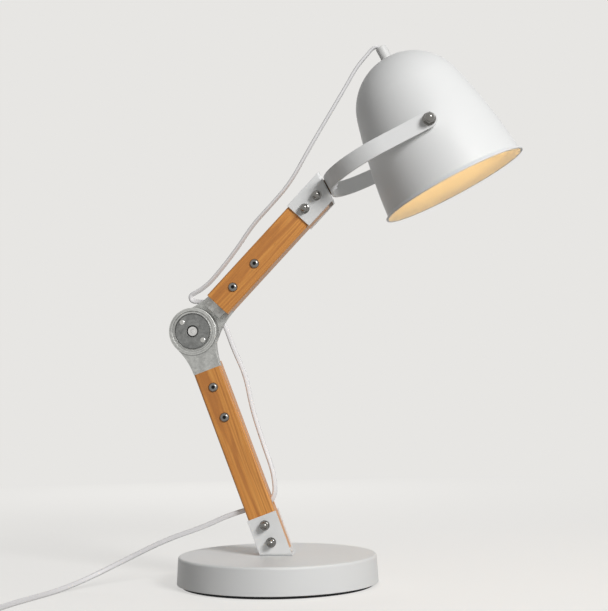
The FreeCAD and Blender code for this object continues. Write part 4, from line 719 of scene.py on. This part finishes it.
def lay_relief(name, centre_line):
    """A ribbed rubber sleeve along the start of a cord's line, thinner towards its free end."""
    sizes = bpy.context.scene.lamp_sizes
    reach = 0.0
    sleeve = []
    for here, there in zip(centre_line, centre_line[1:]):
        if reach > sizes.relief_length:
            break
        sleeve.append((here, reach / sizes.relief_length))
        reach += (Vector(there) - Vector(here)).length
    curve, line = draw_curve(name, "3D", "POLY", [place for place, share in sleeve])
    for number, (point, (place, share)) in enumerate(zip(line.points, sleeve)):
        rib = RIB_HEIGHT if number % RIB_SPACING == 0 else 0.0
        point.radius = sizes.relief_radius - (sizes.relief_radius - RELIEF_END) * share - rib
    curve.data.bevel_depth = 1.0
    curve.data.bevel_resolution = 8
    curve.data.use_fill_caps = True
    piece = curve_to_piece(curve, name, 40)
    finish_piece(piece, bpy.data.materials["white_plastic"], "white_plastic", body="stand")
    return piece


def coil_points():
    """The coil's turns: three side by side from outside in, then the rest on top from inside out."""
    sizes = bpy.context.scene.lamp_sizes
    points = []
    for number in range(round(sizes.coil_turns * COIL_STEPS) + 1):
        turns = number / COIL_STEPS
        whole = int(turns)
        change = min(1.0, max(0.0, (turns - whole - COIL_CROSSING) / (1.0 - COIL_CROSSING)))
        ease = change * change * (3 - 2 * change)
        inward = COIL_COLUMNS[whole] + (COIL_COLUMNS[whole + 1] - COIL_COLUMNS[whole]) * ease
        climb = ease if whole == CLIMBING_TURN else float(whole > CLIMBING_TURN)
        # Turns wound by hand lie a little in and out of line.
        wobble = 0.0004 * sin(2.3 * turns + 0.7) + 0.0003 * sin(5.1 * turns * tau / 3)
        radius = sizes.coil_radius - sizes.turn_spacing * inward + wobble
        angle = radians(COIL_START) - turns * tau
        points.append((COIL_CENTRE[0] + radius * cos(angle), COIL_CENTRE[1] + radius * sin(angle),
                       LOW_LAYER + LAYER_RISE * climb))
    return points


def at_coil(route):
    return [(x + COIL_CENTRE[0], y + COIL_CENTRE[1], z) for x, y, z in route]


# ---- operators ----------------------------------------------------------------------------------

class LAMP_OT_painted_metal(bpy.types.Operator):
    """Powder-coat the base, brackets and yoke"""

    bl_idname = "lamp.painted_metal"
    bl_label = "Painted Metal"

    def execute(self, context):
        coat = powder_coat(edge=COAT_EDGE)
        give_finish(coat, "base_cover", "lower_bracket", "upper_bracket", "yoke", "shade_pivot_spacers")
        return {"FINISHED"}


class LAMP_OT_wooden_arms(bpy.types.Operator):
    """Give each arm oiled cherry with its grain along the arm"""

    bl_idname = "lamp.wooden_arms"
    bl_label = "Wooden Arms"

    def execute(self, context):
        give_finish(arm_wood("lower_arm_cherry", LOWER_ARM_LEAN), "lower_arm")
        give_finish(arm_wood("upper_arm_cherry", UPPER_ARM_LEAN), "upper_arm")
        return {"FINISHED"}


class LAMP_OT_elbow(bpy.types.Operator):
    """Give the elbow its raw castings, darker covers and friction parts"""

    bl_idname = "lamp.elbow"
    bl_label = "Elbow"

    def execute(self, context):
        colours = context.scene.lamp_colours
        give_finish(raw_casting("raw_casting", colours.casting[:], 0.72, 0.42),
                    "lower_elbow_casting", "upper_elbow_casting")
        give_finish(raw_casting("elbow_cover_metal", colours.cover[:], 0.66, 0.40),
                    "front_elbow_cover", "rear_elbow_cover")
        give_finish(friction_fibre(), "elbow_friction_washer", "swivel_friction_washer")
        return {"FINISHED"}


def cross_screw(sizes):
    """A pan-head screw with a cross recess, its seat at height 0."""
    head, rise = sizes.cover_screw_head, sizes.cover_screw_height
    outline = [(0.0, -SHANK_LENGTH), (SHANK_RADIUS, -SHANK_LENGTH), (SHANK_RADIUS, 0.0), (head, 0.0),
               (head, rise * HEAD_EDGE)]
    outline += [(head * cos(radians(turn)), rise * (HEAD_EDGE + (1.0 - HEAD_EDGE) * sin(radians(turn))))
                for turn in range(15, 90, 15)]
    outline.append((0.0, rise))
    screw = spin_piece("cover_screw", outline, 32)
    bpy.ops.object.mode_set(mode="OBJECT")
    for size in ((RECESS_LENGTH, RECESS_WIDTH), (RECESS_WIDTH, RECESS_LENGTH)):
        cut_out(screw, add_cutter("cross_bar", (*size, 2 * RECESS_DEPTH), (0.0, 0.0, rise)))
    smooth(screw, 30)
    return screw


class LAMP_OT_cover_screws(bpy.types.Operator):
    """Model the pan-head screws with a cross recess that hold the elbow's covers"""

    bl_idname = "lamp.cover_screws"
    bl_label = "Cover Screws"

    def execute(self, context):
        sizes = context.scene.lamp_sizes
        screw = cross_screw(sizes)
        plate = plated("cover_screw_plate", SCREW_PLATE, 0.24)
        covers = (("front", "stand", LOWER_ARM_LEAN - 90.0, -1.0),
                  ("rear", "upper_arm_body", 90.0 + UPPER_ARM_LEAN, 1.0))
        for cover, body, start, side in covers:
            for number, recess_turn in enumerate(RECESS_TURNS):
                turn = radians(start + sizes.cover_screw_turn + 180.0 * number)
                seat = (ELBOW_PIN[0] + COVER_SCREW_CIRCLE * cos(turn), COVER_SCREW_SEAT * side,
                        ELBOW_PIN[2] + COVER_SCREW_CIRCLE * sin(turn))
                twin = copy_piece(screw, f"{cover}_cover_screw_{number + 1}")
                bpy.ops.object.mode_set(mode="EDIT")
                bpy.ops.mesh.select_all(action="SELECT")
                for angle, axis in ((recess_turn, "Z"), (radians(90.0 * side), "X")):
                    bpy.ops.transform.rotate(value=angle, orient_axis=axis, center_override=(0, 0, 0))
                bpy.ops.transform.translate(value=seat)
                bpy.ops.object.mode_set(mode="OBJECT")
                finish_piece(twin, plate, "nickel", cover + "_cover_screws", body=body)
        bpy.data.objects.remove(screw)
        return {"FINISHED"}


class LAMP_OT_hardware(bpy.types.Operator):
    """Plate the screws, washers, nuts and bolts"""

    bl_idname = "lamp.hardware"
    bl_label = "Hardware"

    def execute(self, context):
        colours = context.scene.lamp_colours
        nickel = plated("nickel_plate", colours.nickel[:], 0.19)
        names = [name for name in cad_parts
                 if name.endswith(("_screws", "_washers", "_cap_nuts")) and name != "elbow_spring_washers"]
        give_finish(nickel, "plug_pins", *names)
        for arm, lean in (("lower_arm", LOWER_ARM_LEAN), ("upper_arm", UPPER_ARM_LEAN)):
            middles = [along_arm(lean, reach) for reach in ARM_SCREWS]
            # The screws' sockets are painted dark as shade.
            plate = plated(arm + "_screw_plate", colours.nickel[:], 0.19, axes=middles,
                           sunk_within=SOCKET_RADIUS)
            give_finish(plate, arm + "_screws")
        steel = plated("pivot_bolt_steel", BOLT_STEEL, 0.25, axes=[(ELBOW_PIN[0], ELBOW_PIN[2])],
                       keep_within=BOLT_END_RADIUS)
        give_finish(steel, "elbow_pivot_bolt")
        zinc = plated("zinc_plate", colours.zinc[:], 0.3, 0.08)
        give_finish(zinc, "base_plate", "base_plate_screws", "elbow_pivot_nut", "elbow_spring_washers",
                    "swivel_bolt", "swivel_nut", "nipple", "nipple_nut", "cap_grub_screw")
        give_finish(plated("bulb_cap_metal", BULB_CAP_METAL, 0.22), "bulb_cap")
        return {"FINISHED"}


class LAMP_OT_base_parts(bpy.types.Operator):
    """Finish the weight and the foot pad under the base"""

    bl_idname = "lamp.base_parts"
    bl_label = "Base Parts"

    def execute(self, context):
        give_finish(rough_iron(), "base_weight")
        give_finish(moulded("black_foot_pad", PAD_BLACK, 0.8, 0.2), "base_pad")
        return {"FINISHED"}


class LAMP_OT_plastic_parts(bpy.types.Operator):
    """Finish the cord cap, lampholder, switch and plug"""

    bl_idname = "lamp.plastic_parts"
    bl_label = "Plastic Parts"

    def execute(self, context):
        white = moulded("white_plastic", context.scene.lamp_colours.plastic[:], 0.5, 0.04)
        give_finish(white, "cord_cap", "switch_bottom_case", "switch_top_case", "switch_rocker",
                    "plug_body", "cord_tie")
        give_finish(moulded("black_lampholder", HOLDER_BLACK, 0.42, 0.08),
                    "lampholder_cap", "lampholder_body")
        return {"FINISHED"}


class LAMP_OT_bulb(bpy.types.Operator):
    """Light the opal bulb"""

    bl_idname = "lamp.bulb"
    bl_label = "Bulb"

    def execute(self, context):
        give_finish(lit_glass(), "bulb_glass")
        return {"FINISHED"}


class LAMP_OT_shade(bpy.types.Operator):
    """Spin the smooth shade with its rolled rim"""

    bl_idname = "lamp.shade"
    bl_label = "Shade"

    def execute(self, context):
        sizes = context.scene.lamp_sizes
        crown, side, sheet = sizes.crown_radius, sizes.side_radius, sizes.sheet
        top, join, lip = (0.0, sizes.crown_centre), sizes.crown_end, sizes.rim_radius
        side_centre = ((crown - side) * cos(radians(join)),
                       sizes.crown_centre + (crown - side) * sin(radians(join)))
        foot_angle = -sin_angle(side_centre[1] - (FLARE_HEIGHT - sizes.rim_drop), side)
        outer = list(arc(top, crown, 90.0 - sin_angle(CROWN_HOLE, crown), join, CROWN_STEPS))
        outer += list(arc(side_centre, side, join, foot_angle, SIDE_STEPS))[1:]
        # The sheet curls out slowly at first, then quickly into the rolled rim.
        foot = outer[-1]
        flare = [(foot[0] + (lip - RIM_BEAD * FLARE_INSET - foot[0]) * (step / FLARE_STEPS) ** 2,
                  foot[1] + (-sizes.rim_drop + RIM_BEAD - foot[1]) * step / FLARE_STEPS)
                 for step in range(1, FLARE_STEPS)]
        roll = list(arc((lip - RIM_BEAD, RIM_BEAD - sizes.rim_drop), RIM_BEAD, 40, -180, ROLL_STEPS))
        inner_side = list(arc(side_centre, side - sheet, foot_angle, join, SIDE_STEPS))
        inner_end = 90.0 - sin_angle(CROWN_HOLE, crown - sheet)
        inner_crown = list(arc(top, crown - sheet, join, inner_end, CROWN_STEPS))
        outline = outer + flare + roll + inner_side + inner_crown[1:]
        outline.append(outer[0])
        piece = spin_piece("spun_shade", outline, sizes.shade_steps)
        place_piece(SHADE_LEAN, SHADE_PIVOT)
        smooth(piece, 50)
        finish_piece(piece, powder_coat("shade_powder_coat"), "white_paint", "shade", body="shade_body")
        return {"FINISHED"}


class LAMP_OT_upper_cords(bpy.types.Operator):
    """Lay the flex from the shade's cap past both arms into the base bracket"""

    bl_idname = "lamp.upper_cords"
    bl_label = "Upper Cord"

    def execute(self, context):
        sheath = flex_sheath()
        stretches = [
            ("head_flex", HEAD_CORD_ROUTE, "head_cord", "shade_body", "yoke_body", CAP_TILT, YOKE_TILT),
            ("arm_flex", ARM_CORD_ROUTE, "arm_cord", "yoke_body", "upper_arm_body", YOKE_TILT, ELBOW_TILT),
            ("elbow_flex", ELBOW_CORD_ROUTE, "elbow_cord", "upper_arm_body", "stand", ELBOW_TILT, HOLE_TILT)]
        for name, route, node, first, second, begin, end in stretches:
            last = len(route) - 1
            piece, centre = lay_flex(name, route, lambda number: begin + (end - begin) * number / last,
                                     steps=12)
            finish_piece(piece, sheath, "white_cord", node)
            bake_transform(piece)
        return {"FINISHED"}


class LAMP_OT_supply_cord(bpy.types.Operator):
    """Lay the flex from the base across the table into its coil and on to the switch"""

    bl_idname = "lamp.supply_cord"
    bl_label = "Supply Cord"

    def execute(self, context):
        sheath = bpy.data.materials["white_flex"]
        route = SUPPLY_CORD_ROUTE + coil_points() + at_coil(SWITCH_CORD_ROUTE)
        # The flex rolls to and fro as it lies on the table.
        piece, centre = lay_flex("supply_flex", route, lambda number: 1.2 + 0.5 * sin(number * 0.35),
                                 steps=7)
        finish_piece(piece, sheath, "white_cord", "supply_cord", "cord_coil", "switch_cord", body="stand")
        relief = lay_relief("switch_relief_in", centre[::-1])
        route = at_coil(PLUG_CORD_ROUTE)
        piece, centre = lay_flex("plug_flex", route, lambda number: 1.5 + 0.1 * number, steps=10)
        finish_piece(piece, sheath, "white_cord", "plug_cord", body="stand")
        relief = lay_relief("switch_relief_out", centre)
        return {"FINISHED"}


class LAMP_OT_stage(bpy.types.Operator):
    """Set out the floor, background, lights and camera"""

    bl_idname = "lamp.stage"
    bl_label = "Stage"

    def execute(self, context):
        colours = context.scene.lamp_colours
        pale = colours.backdrop[:]
        bpy.ops.object.select_all(action="DESELECT")
        bpy.ops.mesh.primitive_plane_add(size=FLOOR_SIDE)
        floor = context.object
        floor.name = "floor"
        floor.data.materials.append(floor_paint(pale))
        set_world(context.scene, pale)
        add_light("key_light", KEY_PLACE, KEY_TARGET, colours.key_power)
        rim = add_light("rim_light", RIM_PLACE, RIM_TARGET, colours.rim_power)
        rim.visible_glossy = False
        data = bpy.data.cameras.new("camera")
        data.sensor_fit = "HORIZONTAL"
        data.sensor_width = 36.0
        data.lens = CAMERA_LENS
        camera = bpy.data.objects.new("camera", data)
        camera.location = CAMERA_PLACE
        camera.rotation_euler = [radians(turn) for turn in CAMERA_TURN]
        context.scene.collection.objects.link(camera)
        context.scene.camera = camera
        context.scene.view_settings.view_transform = "Standard"
        return {"FINISHED"}


def add_light(name, place, target, power):
    bpy.ops.object.light_add(type="AREA", location=place)
    light = bpy.context.object
    light.name = name
    light.data.size = LIGHT_SIDE
    light.data.energy = power
    light.rotation_euler = (Vector(target) - Vector(place)).to_track_quat("-Z", "Y").to_euler()
    return light


def seen_directly(nodes, links):
    """1 for what is seen by the camera, in a reflection or through glass."""
    rays = nodes.new("ShaderNodeLightPath")
    seen = rays.outputs["Is Camera Ray"]
    for kind in ("Is Glossy Ray", "Is Transmission Ray"):
        either = nodes.new("ShaderNodeMath")
        either.operation = "MAXIMUM"
        links.new(seen, either.inputs[0])
        links.new(rays.outputs[kind], either.inputs[1])
        seen = either.outputs[0]
    return seen


def floor_paint(pale):
    """A matt pale floor that keeps the lamp's shadow and passes into the plain background far away."""
    paint = Finish("pale_floor", rough=0.8)
    paint.set(Specular_IOR_Level=0.1)
    paint.colour(paint.ramp(paint.noise(3.0, 2.0), (0.3, tint(pale, 0.495)), (0.7, tint(pale, 0.5))))
    seen = seen_directly(paint.nodes, paint.links)
    away = paint.nodes.new("ShaderNodeVectorMath")
    away.operation = "LENGTH"
    paint.links.new(paint.place, away.inputs[0])
    far = paint.range(away.outputs["Value"], 0.0, 1.0, *FLOOR_FADE)
    lift = paint.glow(pale, paint.combine("MULTIPLY", seen, FLOOR_LIFT))
    near = paint.nodes.new("ShaderNodeAddShader")
    paint.links.new(paint.shader.outputs[0], near.inputs[0])
    paint.links.new(lift, near.inputs[1])
    mixed = paint.nodes.new("ShaderNodeMixShader")
    paint.links.new(paint.combine("MULTIPLY", far, seen), mixed.inputs[0])
    paint.links.new(near.outputs[0], mixed.inputs[1])
    paint.links.new(paint.glow(pale, 1.0), mixed.inputs[2])
    paint.links.new(mixed.outputs[0], paint.nodes["Material Output"].inputs["Surface"])
    return paint.material


def set_world(scene, pale):
    """A pale background for what is seen directly, and a soft grey one that lights the lamp."""
    world = bpy.data.worlds.new("pale_room")
    scene.world = world
    world.use_nodes = True
    nodes = world.node_tree.nodes
    links = world.node_tree.links
    nodes.clear()
    room = nodes.new("ShaderNodeBackground")
    room.inputs["Color"].default_value = (1.0, 1.0, 1.0, 1.0)
    room.inputs["Strength"].default_value = ROOM_LIGHT
    wall = nodes.new("ShaderNodeBackground")
    wall.inputs["Color"].default_value = (*pale, 1.0)
    mixed = nodes.new("ShaderNodeMixShader")
    links.new(seen_directly(nodes, links), mixed.inputs[0])
    links.new(room.outputs[0], mixed.inputs[1])
    links.new(wall.outputs[0], mixed.inputs[2])
    links.new(mixed.outputs[0], nodes.new("ShaderNodeOutputWorld").inputs["Surface"])


STEPS = (LAMP_OT_painted_metal, LAMP_OT_wooden_arms, LAMP_OT_elbow, LAMP_OT_cover_screws, LAMP_OT_hardware,
         LAMP_OT_base_parts, LAMP_OT_plastic_parts, LAMP_OT_bulb, LAMP_OT_shade, LAMP_OT_upper_cords,
         LAMP_OT_supply_cord, LAMP_OT_stage)


class LAMP_PT_panel(bpy.types.Panel):
    """The lamp's steps, sizes and colours"""

    bl_idname = "LAMP_PT_panel"
    bl_label = "Adjustable Table Lamp"
    bl_space_type = "VIEW_3D"
    bl_region_type = "UI"
    bl_category = "Lamp"

    def draw(self, context):
        for step in STEPS:
            self.layout.operator(step.bl_idname)
        for group in (context.scene.lamp_sizes, context.scene.lamp_colours):
            box = self.layout.box()
            for name in group.__annotations__:
                box.prop(group, name)


CLASSES = (LampSizes, LampColours, *STEPS, LAMP_PT_panel)


def register():
    for each in CLASSES:
        bpy.utils.register_class(each)
    bpy.types.Scene.lamp_sizes = PointerProperty(type=LampSizes)
    bpy.types.Scene.lamp_colours = PointerProperty(type=LampColours)


def unregister():
    del bpy.types.Scene.lamp_colours
    del bpy.types.Scene.lamp_sizes
    for each in reversed(CLASSES):
        bpy.utils.unregister_class(each)


def main():
    """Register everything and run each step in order."""
    register()
    bpy.ops.lamp.painted_metal()
    bpy.ops.lamp.wooden_arms()
    bpy.ops.lamp.elbow()
    bpy.ops.lamp.cover_screws()
    bpy.ops.lamp.hardware()
    bpy.ops.lamp.base_parts()
    bpy.ops.lamp.plastic_parts()
    bpy.ops.lamp.bulb()
    bpy.ops.lamp.shade()
    bpy.ops.lamp.upper_cords()
    bpy.ops.lamp.supply_cord()
    bpy.ops.lamp.stage()


if __name__ == "__main__":
    main()
